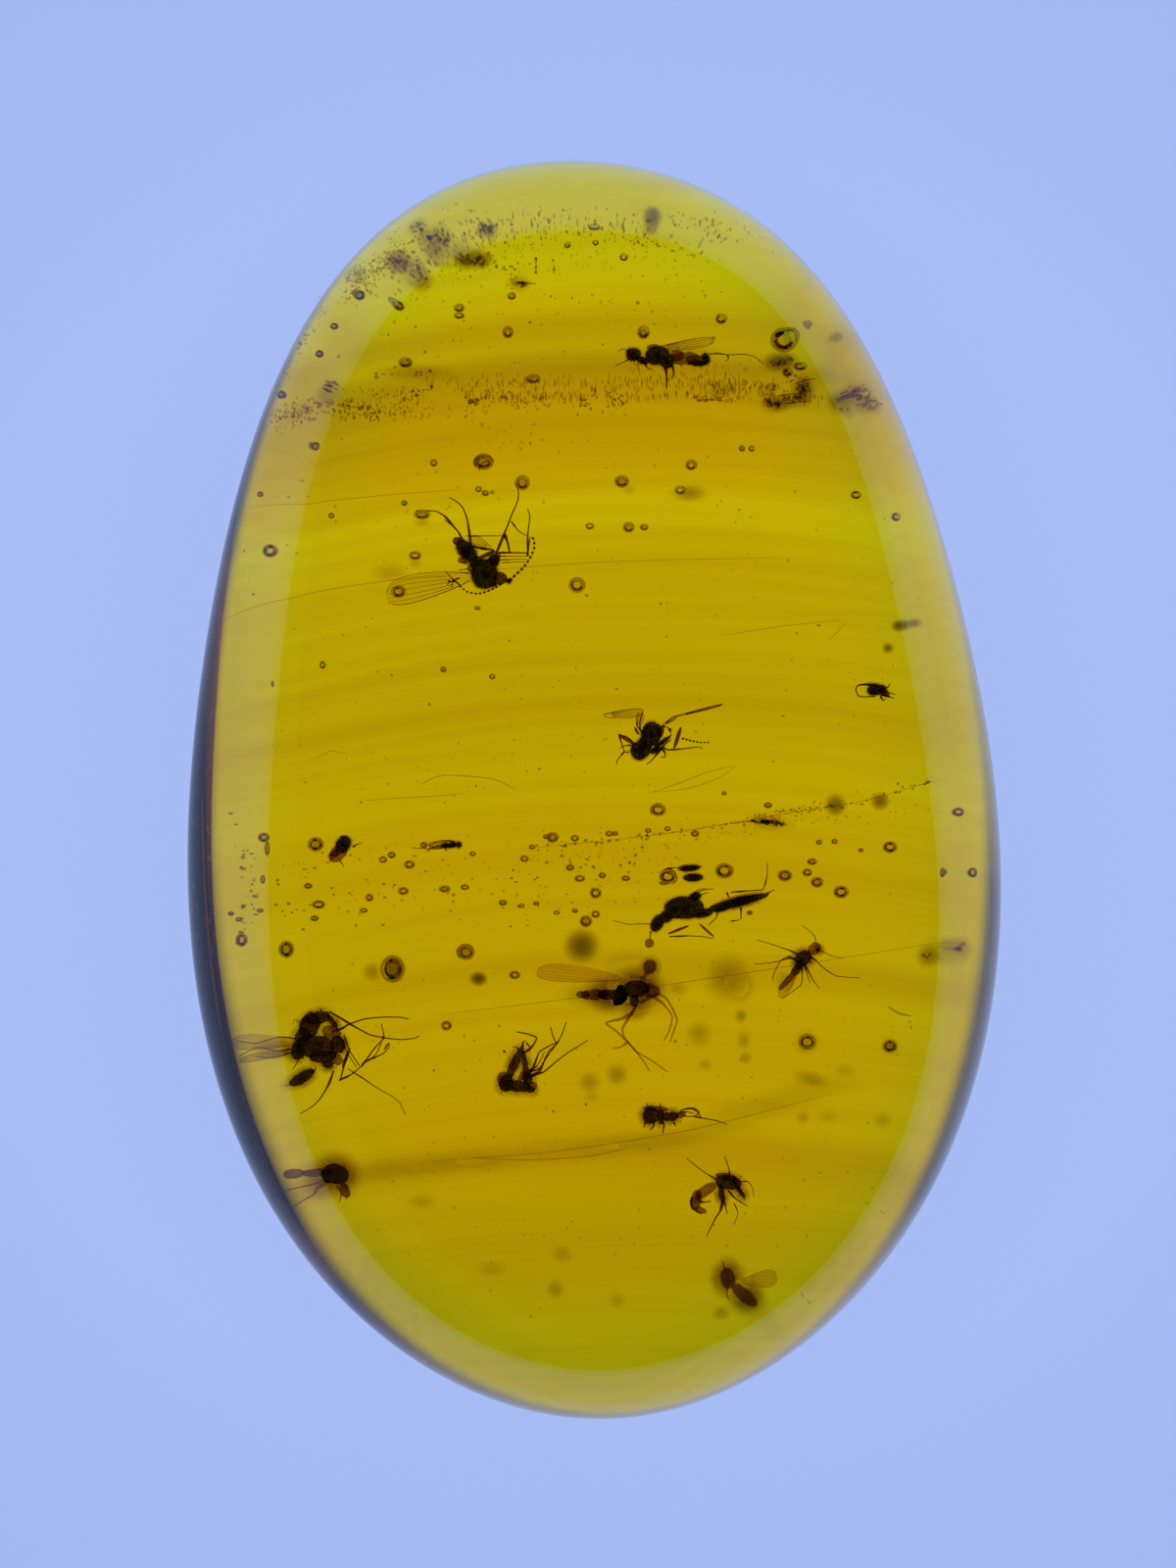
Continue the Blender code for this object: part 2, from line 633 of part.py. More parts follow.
def add_wing(shape, root, tip, width):
    """Thin oval plate from root to tip, narrower toward the root."""
    root = Vector(root)
    tip = Vector(tip)
    along = tip - root
    across = Vector((-along.y, along.x)).normalized()
    rims = []
    for z in (-WING_THICKNESS / 2, WING_THICKNESS / 2):
        rim = []
        for side in range(WING_SIDES):
            angle = 2 * math.pi * (side + 0.5) / WING_SIDES
            share = (1 - math.cos(angle)) / 2
            half = width / 2 * math.sin(angle) * (0.55 + 0.6 * share)
            point = root + along * share + across * half
            rim.append(shape.verts.new((point.x, point.y, z)))
        rims.append(rim)
    lower, upper = rims
    for side in range(WING_SIDES):
        following = (side + 1) % WING_SIDES
        shape.faces.new((lower[side], lower[following], upper[following], upper[side]))
    shape.faces.new(list(reversed(lower)))
    shape.faces.new(upper)


def place_of(plan):
    x, y = plan["place"]
    return Vector((x, y, layer_height(x, y) + plan["lift"]))


def build_inclusion(name, plan, material, tools):
    """The first lump is the body; a union welds the other lumps, the limbs and the wings to it."""
    body = bmesh.new()
    add_lump(body, plan["lumps"][0])
    bmesh.ops.translate(body, vec=place_of(plan), verts=body.verts)
    rest = bmesh.new()
    for lump in plan["lumps"][1:]:
        add_lump(rest, lump)
    for index, (root, tip, points) in enumerate(plan.get("limbs", [])):
        add_limb(rest, root, tip, points, index)
    for root, tip, width in plan.get("wings", []):
        add_wing(rest, root, tip, width)
    piece = add_object(name, body, material)
    if rest.verts:
        bmesh.ops.translate(rest, vec=place_of(plan), verts=rest.verts)
        parts = as_cutter(add_object(name + "_parts", rest, material, tools))
        weld = piece.modifiers.new("weld parts", "BOOLEAN")
        weld.operation = "UNION"
        weld.object = parts
        weld.solver = "EXACT"
        weld.use_self = True
    else:
        rest.free()
    return piece


def plan_box(plan):
    """Box round an inclusion, as its middle and half sizes, from the sizes of its parts."""
    spans = []
    for x, y, length, width, height, turn in plan["lumps"]:
        cosine = abs(math.cos(math.radians(turn)))
        sine = abs(math.sin(math.radians(turn)))
        reach = Vector((length * cosine + width * sine, length * sine + width * cosine, height)) / 2
        spans.append((Vector((x, y, 0)), reach))
    for root, tip, points in plan.get("limbs", []):
        spans += [(Vector((x, y, 0)), Vector((root / 2, root / 2, LIMB_DROP))) for x, y in points]
    for root, tip, width in plan.get("wings", []):
        middle = (Vector(root) + Vector(tip)) / 2
        along = Vector(tip) - Vector(root)
        reach = Vector((abs(along.x) + width * abs(along.normalized().y),
                        abs(along.y) + width * abs(along.normalized().x))) / 2
        spans.append((middle.to_3d(), reach.to_3d()))
    low = Vector([min((middle - reach)[axis] for middle, reach in spans) for axis in range(3)])
    high = Vector([max((middle + reach)[axis] for middle, reach in spans) for axis in range(3)])
    return (low + high) / 2, (high - low) / 2


def add_pocket(name, plan, material, tools):
    """Flat pebble-shaped hollow that clears the inclusion by the margin on every side."""
    middle, half = plan_box(plan)
    middle += place_of(plan)
    shape = bmesh.new()
    rings = []
    for height, share in ((-1, 0.85), (0, 1), (1, 0.85)):
        ring = []
        for side in range(POCKET_SIDES):
            angle = 2 * math.pi * (side + 0.5) / POCKET_SIDES
            cosine = math.cos(angle)
            sine = math.sin(angle)
            reach = share / (abs(cosine) ** 4 + abs(sine) ** 4) ** 0.25
            ring.append(shape.verts.new((
                middle.x + cosine * reach * (half.x + POCKET_MARGIN),
                middle.y + sine * reach * (half.y + POCKET_MARGIN),
                middle.z + height * (half.z + POCKET_MARGIN))))
        rings.append(ring)
    for lower, upper in zip(rings, rings[1:]):
        for side in range(POCKET_SIDES):
            following = (side + 1) % POCKET_SIDES
            shape.faces.new((lower[side], lower[following], upper[following], upper[side]))
    shape.faces.new(list(reversed(rings[0])))
    shape.faces.new(rings[-1])
    return as_cutter(add_object(name + "_pocket", shape, material, tools))


def cut_pockets(half, pockets):
    cut = half.modifiers.new("pockets", "BOOLEAN")
    cut.operation = "DIFFERENCE"
    cut.operand_type = "COLLECTION"
    cut.collection = pockets
    cut.solver = "EXACT"


def build():
    clear_scene()
    amber = make_material("amber", AMBER_COLOUR, 0.05, 1.0)
    insect = make_material("insect", INSECT_COLOUR, 0.45)
    debris = make_material("debris", DEBRIS_COLOUR, 0.8)
    tools = bpy.data.collections.new("welded parts")
    pockets = bpy.data.collections.new("pockets")
    for collection in (tools, pockets):
        bpy.context.scene.collection.children.link(collection)
    for plans, material in ((INSECTS, insect), (CRUMBS, debris)):
        for name, plan in plans.items():
            build_inclusion(name, plan, material, tools)
            add_pocket(name, plan, material, pockets)
    cut_pockets(half_stone("upper_amber", 1, amber), pockets)
    cut_pockets(half_stone("lower_amber", -1, amber), pockets)


build()
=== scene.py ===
# An egg-shaped drop of polished amber with a swarm of tiny insects sealed in it, lying on its flat back.
# x runs along the short axis, y along the long one, z up from the floor. Lengths are in millimetres and
# turns in degrees; in the rows of the insects, the bubbles and the dust the lengths are in hundredths of
# a millimetre.
import math

import bpy
import numpy as np
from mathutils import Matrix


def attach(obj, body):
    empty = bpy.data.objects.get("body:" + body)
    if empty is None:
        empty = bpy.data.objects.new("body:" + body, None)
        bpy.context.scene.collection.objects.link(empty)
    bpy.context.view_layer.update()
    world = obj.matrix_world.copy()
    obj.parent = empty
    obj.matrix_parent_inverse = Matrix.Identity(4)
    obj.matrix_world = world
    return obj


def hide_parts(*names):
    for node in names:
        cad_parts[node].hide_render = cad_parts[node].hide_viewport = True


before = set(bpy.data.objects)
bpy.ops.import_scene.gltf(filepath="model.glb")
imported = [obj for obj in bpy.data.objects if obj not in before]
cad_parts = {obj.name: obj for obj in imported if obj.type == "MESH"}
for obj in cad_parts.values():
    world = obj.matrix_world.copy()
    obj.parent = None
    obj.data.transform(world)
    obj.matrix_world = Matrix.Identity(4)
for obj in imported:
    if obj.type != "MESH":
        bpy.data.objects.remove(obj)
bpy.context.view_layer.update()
mm = 0.001
tau = 2 * math.pi


# how many values at the start of each kind of row are lengths
lengthsIn = {"lumps": 5, "pale": 5, "red": 5, "legs": 3, "feelers": 3, "wings": 3, "clear": 4, "hazy": 4,
             "bold": 4, "fine": 4, "threads": 2, "arcs": 2}


def rowsOf(table, kind):
    # the rows of one kind, their lengths turned from hundredths of a millimetre to millimetres
    return [tuple(np.array(value) / 100 if place < lengthsIn[kind] else value
                  for place, value in enumerate(row)) for row in table.get(kind, [])]


def circle(count):
    # even angles once round
    return np.linspace(0, tau, count, endpoint=False)


def outward(skin):
    # turns the faces round when the closed surface holds a negative volume
    points, quads, triangles = skin
    corners = np.concatenate([quads[:, [0, 1, 2]], quads[:, [0, 2, 3]], triangles])
    a, b, c = (points[corners[:, k]] for k in range(3))
    if np.einsum("ij,ij->", a, np.cross(b, c)) < 0:
        return points, quads[:, ::-1], triangles[:, ::-1]
    return skin


def bandQuads(rows, around):
    # four-sided faces between each ring of points and the next
    index = np.arange(rows * around).reshape(rows, around)
    turned = np.roll(index, -1, axis=1)
    return np.stack([index[:-1], turned[:-1], turned[1:], index[1:]], -1).reshape(-1, 4)


def ringSkin(rings, first, last):
    # rings of points laid one after another, joined by quads, with a fan of triangles to a point at each end
    rows, around = rings.shape[:2]
    index = np.arange(around)
    turned = np.roll(index, -1)
    end = (rows - 1) * around
    tips = np.full(around, rows * around)
    startFan = np.stack([turned, index, tips], -1)
    endFan = np.stack([index + end, turned + end, tips + 1], -1)
    points = np.concatenate([rings.reshape(-1, 3), [first], [last]])
    return outward((points, bandQuads(rows, around), np.concatenate([startFan, endFan])))


def joined(skins):
    # one skin from several, each one's faces counted on from the points before it
    starts = np.cumsum([0] + [len(skin[0]) for skin in skins])
    return tuple(np.concatenate([skin[k] + (0 if k == 0 else start) for skin, start in zip(skins, starts)])
                 for k in range(3))


def copies(skin, places, sizes, turns):
    # the same small skin at many places: stretched by sizes, turned about z, then moved
    points, quads, triangles = skin
    p = points[None] * sizes[:, None, :]
    c, s = np.cos(turns)[:, None], np.sin(turns)[:, None]
    p = np.stack([p[..., 0] * c - p[..., 1] * s, p[..., 0] * s + p[..., 1] * c, p[..., 2]], -1)
    p = p + places[:, None, :]
    step = (np.arange(len(places)) * len(points))[:, None, None]
    return p.reshape(-1, 3), (quads[None] + step).reshape(-1, 4), (triangles[None] + step).reshape(-1, 3)


def spun(reach, height, around):
    # skin about z that closes at heights 1 and -1: one ring for each reach and height
    turn = circle(around)[None, :]
    rings = np.stack([reach * np.cos(turn), reach * np.sin(turn), height + 0 * turn], -1)
    return ringSkin(rings, (0, 0, 1), (0, 0, -1))


def oval(rows, around):
    # ball of radius 1: a ring's reach is the sine of its angle from the pole and its height the cosine
    down = np.linspace(0, math.pi, rows + 2)[1:-1, None]
    return spun(np.sin(down), np.cos(down), around)


def softLens(around, rows=16, edge=0.03):
    # flat lens of radius 1 that thins out softly: its height is (1 - distance squared) squared, and the edge
    sweep = np.linspace(0, math.pi, rows + 2)[1:-1, None]
    reach = np.sin(sweep)
    return spun(reach, np.sign(np.cos(sweep)) * ((1 - reach**2)**2 + edge), around)


def softPath(points, perSpan, softness=0.6):
    # Catmull-Rom curve, where each span bends to meet its neighbours without a kink, drawn in toward the
    # straight spans by what the softness lacks of 1
    p = np.asarray(points, float)
    p = np.concatenate([[2 * p[0] - p[1]], p, [2 * p[-1] - p[-2]]])
    t = (np.arange(perSpan) / perSpan)[None, :, None]
    a, b, c, d = p[:-3, None], p[1:-2, None], p[2:-1, None], p[3:, None]
    bend = 0.5 * (2 * b + (c - a) * t + (2 * a - 5 * b + 4 * c - d) * t**2 + (3 * b - a - 3 * c + d) * t**3)
    straight = b + (c - b) * t
    curve = softness * bend + (1 - softness) * straight
    return np.concatenate([curve.reshape(-1, p.shape[1]), p[-2:-1]])


def tube(path, widths, around=7, tip=0.3):
    # circles of the given widths carried along a path that stays near level; each end is drawn out by a
    # share of its width
    along = np.gradient(path, axis=0)
    along /= np.linalg.norm(along, axis=1, keepdims=True)
    side = np.cross(along, (0, 0, 1))
    side /= np.linalg.norm(side, axis=1, keepdims=True)
    up = np.cross(side, along)
    turn = circle(around)[None, :, None]
    spokes = np.cos(turn) * side[:, None] + np.sin(turn) * up[:, None]
    rings = path[:, None] + widths[:, None, None] / 2 * spokes
    return ringSkin(rings, path[0] - along[0] * widths[0] * tip, path[-1] + along[-1] * widths[-1] * tip)


def putPiece(name, layers, nodes=(), marked=None):
    # layers are pairs of a skin and its material; they become one mesh that rides on the stone;
    # marked is a name and one number for each point; a haze stays flat shaded, so that its rim never shows
    points, quads, triangles = joined([skin for skin, material in layers])
    corners = np.concatenate([quads.ravel(), triangles.ravel()])
    starts = np.concatenate([np.arange(len(quads)) * 4, quads.size + np.arange(len(triangles)) * 3])
    paint = np.concatenate([np.full(len(skin[k]), row)
                            for k in (1, 2) for row, (skin, material) in enumerate(layers)])
    smooth = np.array(["haze" not in material.name for skin, material in layers])
    mesh = bpy.data.meshes.new(name)
    mesh.vertices.add(len(points))
    mesh.vertices.foreach_set("co", (points * mm).astype(np.float32).ravel())
    mesh.loops.add(len(corners))
    mesh.loops.foreach_set("vertex_index", corners.astype(np.int32))
    mesh.polygons.add(len(starts))
    mesh.polygons.foreach_set("loop_start", starts.astype(np.int32))
    mesh.polygons.foreach_set("material_index", paint.astype(np.int32))
    mesh.polygons.foreach_set("use_smooth", smooth[paint])
    for skin, material in layers:
        mesh.materials.append(material)
    if marked:
        values = mesh.attributes.new(marked[0], "FLOAT", "POINT").data
        values.foreach_set("value", marked[1].astype(np.float32))
    mesh.update(calc_edges=True)
    mesh.validate()
    piece = bpy.data.objects.new(name, mesh)
    bpy.context.scene.collection.objects.link(piece)
    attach(piece, "root")
    if nodes:
        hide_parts(*nodes)


def newMaterial(name, **values):
    # a plain finish; every value goes on the shader's own socket
    material = bpy.data.materials.new(name)
    material.use_nodes = True
    shader = material.node_tree.nodes["Principled BSDF"]
    for key, value in values.items():
        shader.inputs[key].default_value = value
    return material, material.node_tree, shader


def addNode(tree, kind, links=(), **values):
    # links are pairs of an output and the input that it feeds
    node = tree.nodes.new(kind)
    for key, value in values.items():
        setattr(node, key, value)
    for source, target in links:
        tree.links.new(source, node.inputs[target])
    return node


def rampOf(tree, source, stops):
    # colour ramp through the given stops of place and colour
    ramp = addNode(tree, "ShaderNodeValToRGB", [(source, "Fac")])
    bar = ramp.color_ramp.elements
    for place, colour in stops[1:-1]:
        bar.new(place).color = (*colour, 1)
    for end in (0, -1):
        bar[end].position = stops[end][0]
        bar[end].color = (*stops[end][1], 1)
    return ramp.outputs["Color"]


def mathOf(tree, operation, first, second):
    # one number from two by the named operation; each is a plain number or an output
    node = addNode(tree, "ShaderNodeMath", operation=operation)
    for place, value in enumerate((first, second)):
        if isinstance(value, (int, float)):
            node.inputs[place].default_value = value
        else:
            tree.links.new(value, node.inputs[place])
    return node.outputs[0]


def absorbInside(tree, density, colour):
    # plain absorption through the whole inside
    absorb = addNode(tree, "ShaderNodeVolumeAbsorption")
    absorb.inputs["Density"].default_value = density
    absorb.inputs["Color"].default_value = (*colour, 1)
    tree.links.new(absorb.outputs[0], tree.nodes["Material Output"].inputs["Volume"])


def stretchedNoise(tree, coordinates, stretch, scale, detail):
    # cloudy noise, drawn out along the axes where the stretch is small
    moved = addNode(tree, "ShaderNodeMapping", [(coordinates, "Vector")])
    moved.inputs["Scale"].default_value = stretch
    noise = addNode(tree, "ShaderNodeTexNoise", [(moved.outputs[0], "Vector")])
    noise.inputs["Scale"].default_value = scale
    noise.inputs["Detail"].default_value = detail
    return noise.outputs["Fac"]


stone = {
    "halfWidth": 10.35, "halfLength": 16.03,          # the ellipse that the outline grows from
    "mean": 1.0046, "middle": (0.0116, 0.0214),
    "waves": [(-0.0105, -0.0119), (-0.0056, -0.0176), (0.0052, -0.0225), (-0.0103, -0.0012),
              (0.0019, -0.0099)],
    "height": 6.2, "domeRise": 1.2, "topTilt": 0.4,
    "shoulderWidth": 1.69, "shoulderShare": 0.87,
    "shoulderWaves": [(0.3, 141, 1), (0.09, -8, 2), (0.08, -30, 3), (0.19, 5, 4)],   # gain, a crest, crests
    "girdleHeight": 1.7, "girdleGrowth": 1.5,
    "backRounding": 1.5, "backGrowth": 2.2,
    "fullness": 0.41, "fullnessWaves": [(0.43, 228, 1), (0.23, 12, 2)],              # gain, a crest, crests
    "layerHeight": 3.0, "layerSlope": -0.02,          # the insects lie in this layer
    "around": 480, "shoulderRows": 16, "backRows": 20, "faceRows": 22, "slopeRows": 8, "restRows": 7,
    "core": 4.2,                                      # the face's even middle starts this far in
}
# painted shade near the widest line, standing in for the dark room that the rim shows; it is mixed into the
# amber's colour
paintedRim = {
    # lobes have a gain, a middle angle, a spread and, where it isn't 2, a power
    "reach": 0.16, "reachLobes": [(0.85, 207, 30), (0.28, 155, 26), (0.68, 332, 32), (0.28, 250, 30)],
    "depth": 0.12, "depthLobes": [(1.0, 182, 62, 4), (1.0, 337, 36, 2), (0.6, 262, 38, 2)],
    "fadeFrom": 1.3, "fadeOver": 0.65,
    "colour": (0.02, 0.015, 0.02),
}
flow = {
    "crest": 1.5, "sink": 14.0, "wave": 0.5, "waveStretch": (120, 300, 120), "waveDetail": 2,
    "streakStretch": (50, 2600, 0), "streakDetail": 4,
    "streaks": [(0.3, (0.93, 0.88, 0.86)), (0.6, (1.0, 1.0, 1.0))],
    "span": 34,
    # height along the stone, then what it lets through of red and green
    "bands": [(-16, 0.78, 0.74), (-13.2, 0.78, 0.74), (-11.5, 0.76, 0.68), (-10.1, 0.85, 0.73),
              (-9.5, 0.84, 0.71), (-9.1, 0.76, 0.6), (-8.3, 0.89, 0.76), (-5.4, 0.9, 0.79),
              (-4.7, 0.88, 0.77), (-4.4, 0.8, 0.66), (-3.8, 0.92, 0.83), (-1.6, 0.88, 0.76),
              (-0.7, 0.92, 0.82), (0.4, 0.94, 0.88), (2.1, 0.86, 0.75), (4.0, 0.91, 0.84),
              (5.7, 0.91, 0.82), (6.5, 0.96, 0.93), (7.1, 1.0, 0.97), (7.7, 0.95, 0.83),
              (8.2, 0.9, 0.74), (8.9, 0.88, 0.7), (9.6, 0.84, 0.67), (10.1, 0.77, 0.6),
              (10.5, 0.7, 0.54), (11.1, 0.89, 0.78), (11.5, 0.83, 0.69), (12.0, 0.92, 0.84),
              (12.5, 1.0, 1.0), (16, 0.96, 0.97)],
}
amberGlass = {
    "ior": 1.54, "roughness": 0.0,
    "density": 1100.0, "redLoss": 4.0, "greenLoss": 50.0,   # absorbed per metre; all the blue is absorbed
}


def swell(angle):
    # the outline's radius beside its ellipse: a mean and a few waves of cosines and sines
    return stone["mean"] + sum(c * np.cos(k * angle) + s * np.sin(k * angle)
                               for k, (c, s) in enumerate(stone["waves"], 1))


def outlineAt(angle, inset):
    # point on the outline, moved inward along its normal
    def raw(turn):
        # the ellipse, swelled, and moved so that the stone's middle is the frame's
        return np.stack([stone["halfWidth"] * swell(turn) * np.cos(turn),
                         stone["halfLength"] * swell(turn) * np.sin(turn)], -1) - stone["middle"]

    near = 1e-4
    ahead = raw(angle + near) - raw(angle - near)
    inward = np.stack([-ahead[..., 1], ahead[..., 0]], -1)
    inward /= np.linalg.norm(inward, axis=-1, keepdims=True)
    return raw(angle) + inward * np.asarray(inset)[..., None]


def crested(mean, waves, angle):
    # a mean and a few waves of cosines, each with its gain, the angle of a crest and its number of crests
    return mean + sum(gain * np.cos(crests * (angle - math.radians(crest))) for gain, crest, crests in waves)


def faceHeight(flat):
    # the top face: a gently tilted plane and a dome that falls with the squared distance from its middle
    x, y = flat[..., 0] + stone["middle"][0], flat[..., 1] + stone["middle"][1]
    angle = np.arctan2(y / stone["halfLength"], x / stone["halfWidth"])
    rho = np.hypot(x / stone["halfWidth"], y / stone["halfLength"]) / swell(angle)
    plane = stone["height"] - stone["domeRise"] - stone["topTilt"] * flat[..., 1] / stone["halfLength"]
    return plane, stone["domeRise"] * (1 - rho**2)


def inLayer(flat, lift):
    # points of the plan set in the insects' layer, which slopes evenly along the stone, and lifted from it
    height = stone["layerHeight"] + stone["layerSlope"] * flat[:, 1]
    return np.stack([flat[:, 0], flat[:, 1], height + lift], -1)


def lobed(base, lobes, degrees):
    # a base and a few humps round the outline
    def hump(gain, middle, spread, power=2):
        # falls as e to minus a power of the angle from its middle over its spread
        turn = (degrees - middle + 180) % 360 - 180
        return gain * np.exp(-np.abs(turn / spread)**power)

    return base + sum(hump(*lobe) for lobe in lobes)


def paintedRimShade(points):
    # painted shade: dark where the widest line is near, standing in for the dark room that the rim shows;
    # deepest at the left and again, less, at the lower right
    angle = np.arctan2((points[:, 1] + stone["middle"][1]) / stone["halfLength"],
                       (points[:, 0] + stone["middle"][0]) / stone["halfWidth"])
    inset = np.linalg.norm(points[:, :2] - outlineAt(angle, np.zeros(len(angle))), axis=1)
    reach = lobed(paintedRim["reach"], paintedRim["reachLobes"], np.degrees(angle))
    depth = lobed(paintedRim["depth"], paintedRim["depthLobes"], np.degrees(angle))
    fade = np.clip((paintedRim["fadeFrom"] - inset / reach) / paintedRim["fadeOver"], 0, 1)
    return np.clip(depth, 0, 1) * fade * fade * (3 - 2 * fade)


def stoneSkin():
    # rings from the top face's middle, over the shoulder and the widest line, round to the back's middle
    angle = circle(stone["around"])[None, :]
    full = crested(stone["fullness"], stone["fullnessWaves"], angle)
    girdle = stone["girdleHeight"] + stone["girdleGrowth"] * full
    reach = crested(stone["shoulderWidth"], stone["shoulderWaves"], angle)
    shrink = np.linspace(0, 1, stone["faceRows"] + 1)[1:, None, None]
    core = outlineAt(angle, np.full(angle.shape, stone["core"])) * shrink
    outer = np.linspace(0, 1, stone["slopeRows"] + 2)[1:-1, None]
    face = np.concatenate([core, outlineAt(angle, stone["core"] + (reach - stone["core"]) * outer)])
    plane, dome = faceHeight(face)
    face = np.concatenate([face, (plane + dome)[..., None]], -1)

    share = stone["shoulderShare"]
    sweep = math.acos(1 - share)
    phi = np.linspace(sweep, 0, stone["shoulderRows"])[:, None]
    flat = outlineAt(angle, reach * (1 - np.cos(phi)) / share)
    plane, dome = faceHeight(flat)
    z = girdle + (plane - girdle) * np.sin(phi) / math.sin(sweep) + dome
    shoulder = np.concatenate([flat, z[..., None]], -1)

    phi = np.linspace(0, math.pi / 2, stone["backRows"])[1:, None]
    width = stone["backRounding"] + stone["backGrowth"] * full
    flat = outlineAt(angle, width * (1 - np.cos(phi)))
    back = np.concatenate([flat, (girdle * (1 - np.sin(phi)))[..., None]], -1)
    rest = back[-1:] * np.linspace(1, 0, stone["restRows"] + 2)[1:-1, None, None]

    rings = np.concatenate([face, shoulder, back, rest])
    return ringSkin(rings, (0, 0, float(sum(faceHeight(np.zeros(2))))), (0, 0, 0))


def amberMaterial():
    # see-through by transmission and plain absorption; faint bands of flow run across it; near the widest
    # line a painted shade darkens its colour
    material, tree, shader = newMaterial("flowing amber with painted rim shade", **{
        "Transmission Weight": 1.0, "IOR": amberGlass["ior"], "Roughness": amberGlass["roughness"]})
    density = amberGlass["density"]
    red, green = (1 - amberGlass[loss] / density for loss in ("redLoss", "greenLoss"))
    absorbInside(tree, density, (red, green, 0))

    # the height along the stone, sinking toward both edges, picks the band; streaks run along the bands
    place = addNode(tree, "ShaderNodeTexCoord").outputs["Object"]
    split = addNode(tree, "ShaderNodeSeparateXYZ", [(place, 0)])
    side = mathOf(tree, "SUBTRACT", split.outputs[0], flow["crest"] * mm)
    sink = mathOf(tree, "MULTIPLY", mathOf(tree, "MULTIPLY", side, side), flow["sink"])
    wave = stretchedNoise(tree, place, flow["waveStretch"], 1.0, flow["waveDetail"])
    wave = mathOf(tree, "MULTIPLY", mathOf(tree, "SUBTRACT", wave, 0.5), flow["wave"] * mm)
    along = mathOf(tree, "ADD", mathOf(tree, "ADD", split.outputs[1], sink), wave)
    span = flow["span"]
    share = mathOf(tree, "ADD", mathOf(tree, "MULTIPLY", along, 1 / (span * mm)), 0.5)
    bands = rampOf(tree, share, [(y / span + 0.5, (red, green, 1.0)) for y, red, green in flow["bands"]])
    drawn = addNode(tree, "ShaderNodeCombineXYZ", [(split.outputs[0], 0), (along, 1)]).outputs[0]
    streaks = stretchedNoise(tree, drawn, flow["streakStretch"], 1.0, flow["streakDetail"])
    streaks = rampOf(tree, streaks, flow["streaks"])
    tint = addNode(tree, "ShaderNodeVectorMath", [(bands, 0), (streaks, 1)], operation="MULTIPLY").outputs[0]
    # the painted shade near the widest line darkens the tint toward its colour
    paintedShade = addNode(tree, "ShaderNodeAttribute", attribute_name="paintedRim").outputs["Fac"]
    mix = addNode(tree, "ShaderNodeMix", data_type="RGBA")
    tree.links.new(paintedShade, mix.inputs["Factor"])
    tree.links.new(tint, mix.inputs[6])
    mix.inputs[7].default_value = (*paintedRim["colour"], 1)
    tree.links.new(mix.outputs[2], shader.inputs["Base Color"])
    return material


grainy = {"darkUpTo": 0.35, "lightFrom": 0.7, "detail": 4, "bump": 0.4, "bumpDepth": 0.01}


def grainyMaterial(name, dark, light, grain, roughness, share, tint):
    # cloudy noise runs from the dark colour to the light one and roughens the surface;
    # a share of the light goes straight through, tinted
    material, tree, shader = newMaterial(name, **{"Roughness": roughness})
    place = addNode(tree, "ShaderNodeTexCoord").outputs["Object"]
    cloud = stretchedNoise(tree, place, (1, 1, 1), grain, grainy["detail"])
    shades = rampOf(tree, cloud, [(grainy["darkUpTo"], dark), (grainy["lightFrom"], light)])
    tree.links.new(shades, shader.inputs["Base Color"])
    bump = addNode(tree, "ShaderNodeBump", [(cloud, "Height")])
    bump.inputs["Strength"].default_value = grainy["bump"]
    bump.inputs["Distance"].default_value = grainy["bumpDepth"] * mm
    tree.links.new(bump.outputs[0], shader.inputs["Normal"])
    through = addNode(tree, "ShaderNodeBsdfTransparent")
    through.inputs["Color"].default_value = (*tint, 1)
    mix = addNode(tree, "ShaderNodeMixShader", [(shader.outputs[0], 1), (through.outputs[0], 2)])
    mix.inputs[0].default_value = share
    tree.links.new(mix.outputs[0], tree.nodes["Material Output"].inputs["Surface"])
    return material


def hazeMaterial(name, density, colour):
    # a soft brown cloud: no surface of its own, only plain absorption inside
    material, tree, shader = newMaterial(name, **{
        "Base Color": (1, 1, 1, 1), "Transmission Weight": 1.0, "IOR": 1.0, "Roughness": 0.0})
    absorbInside(tree, density, colour)
    return material


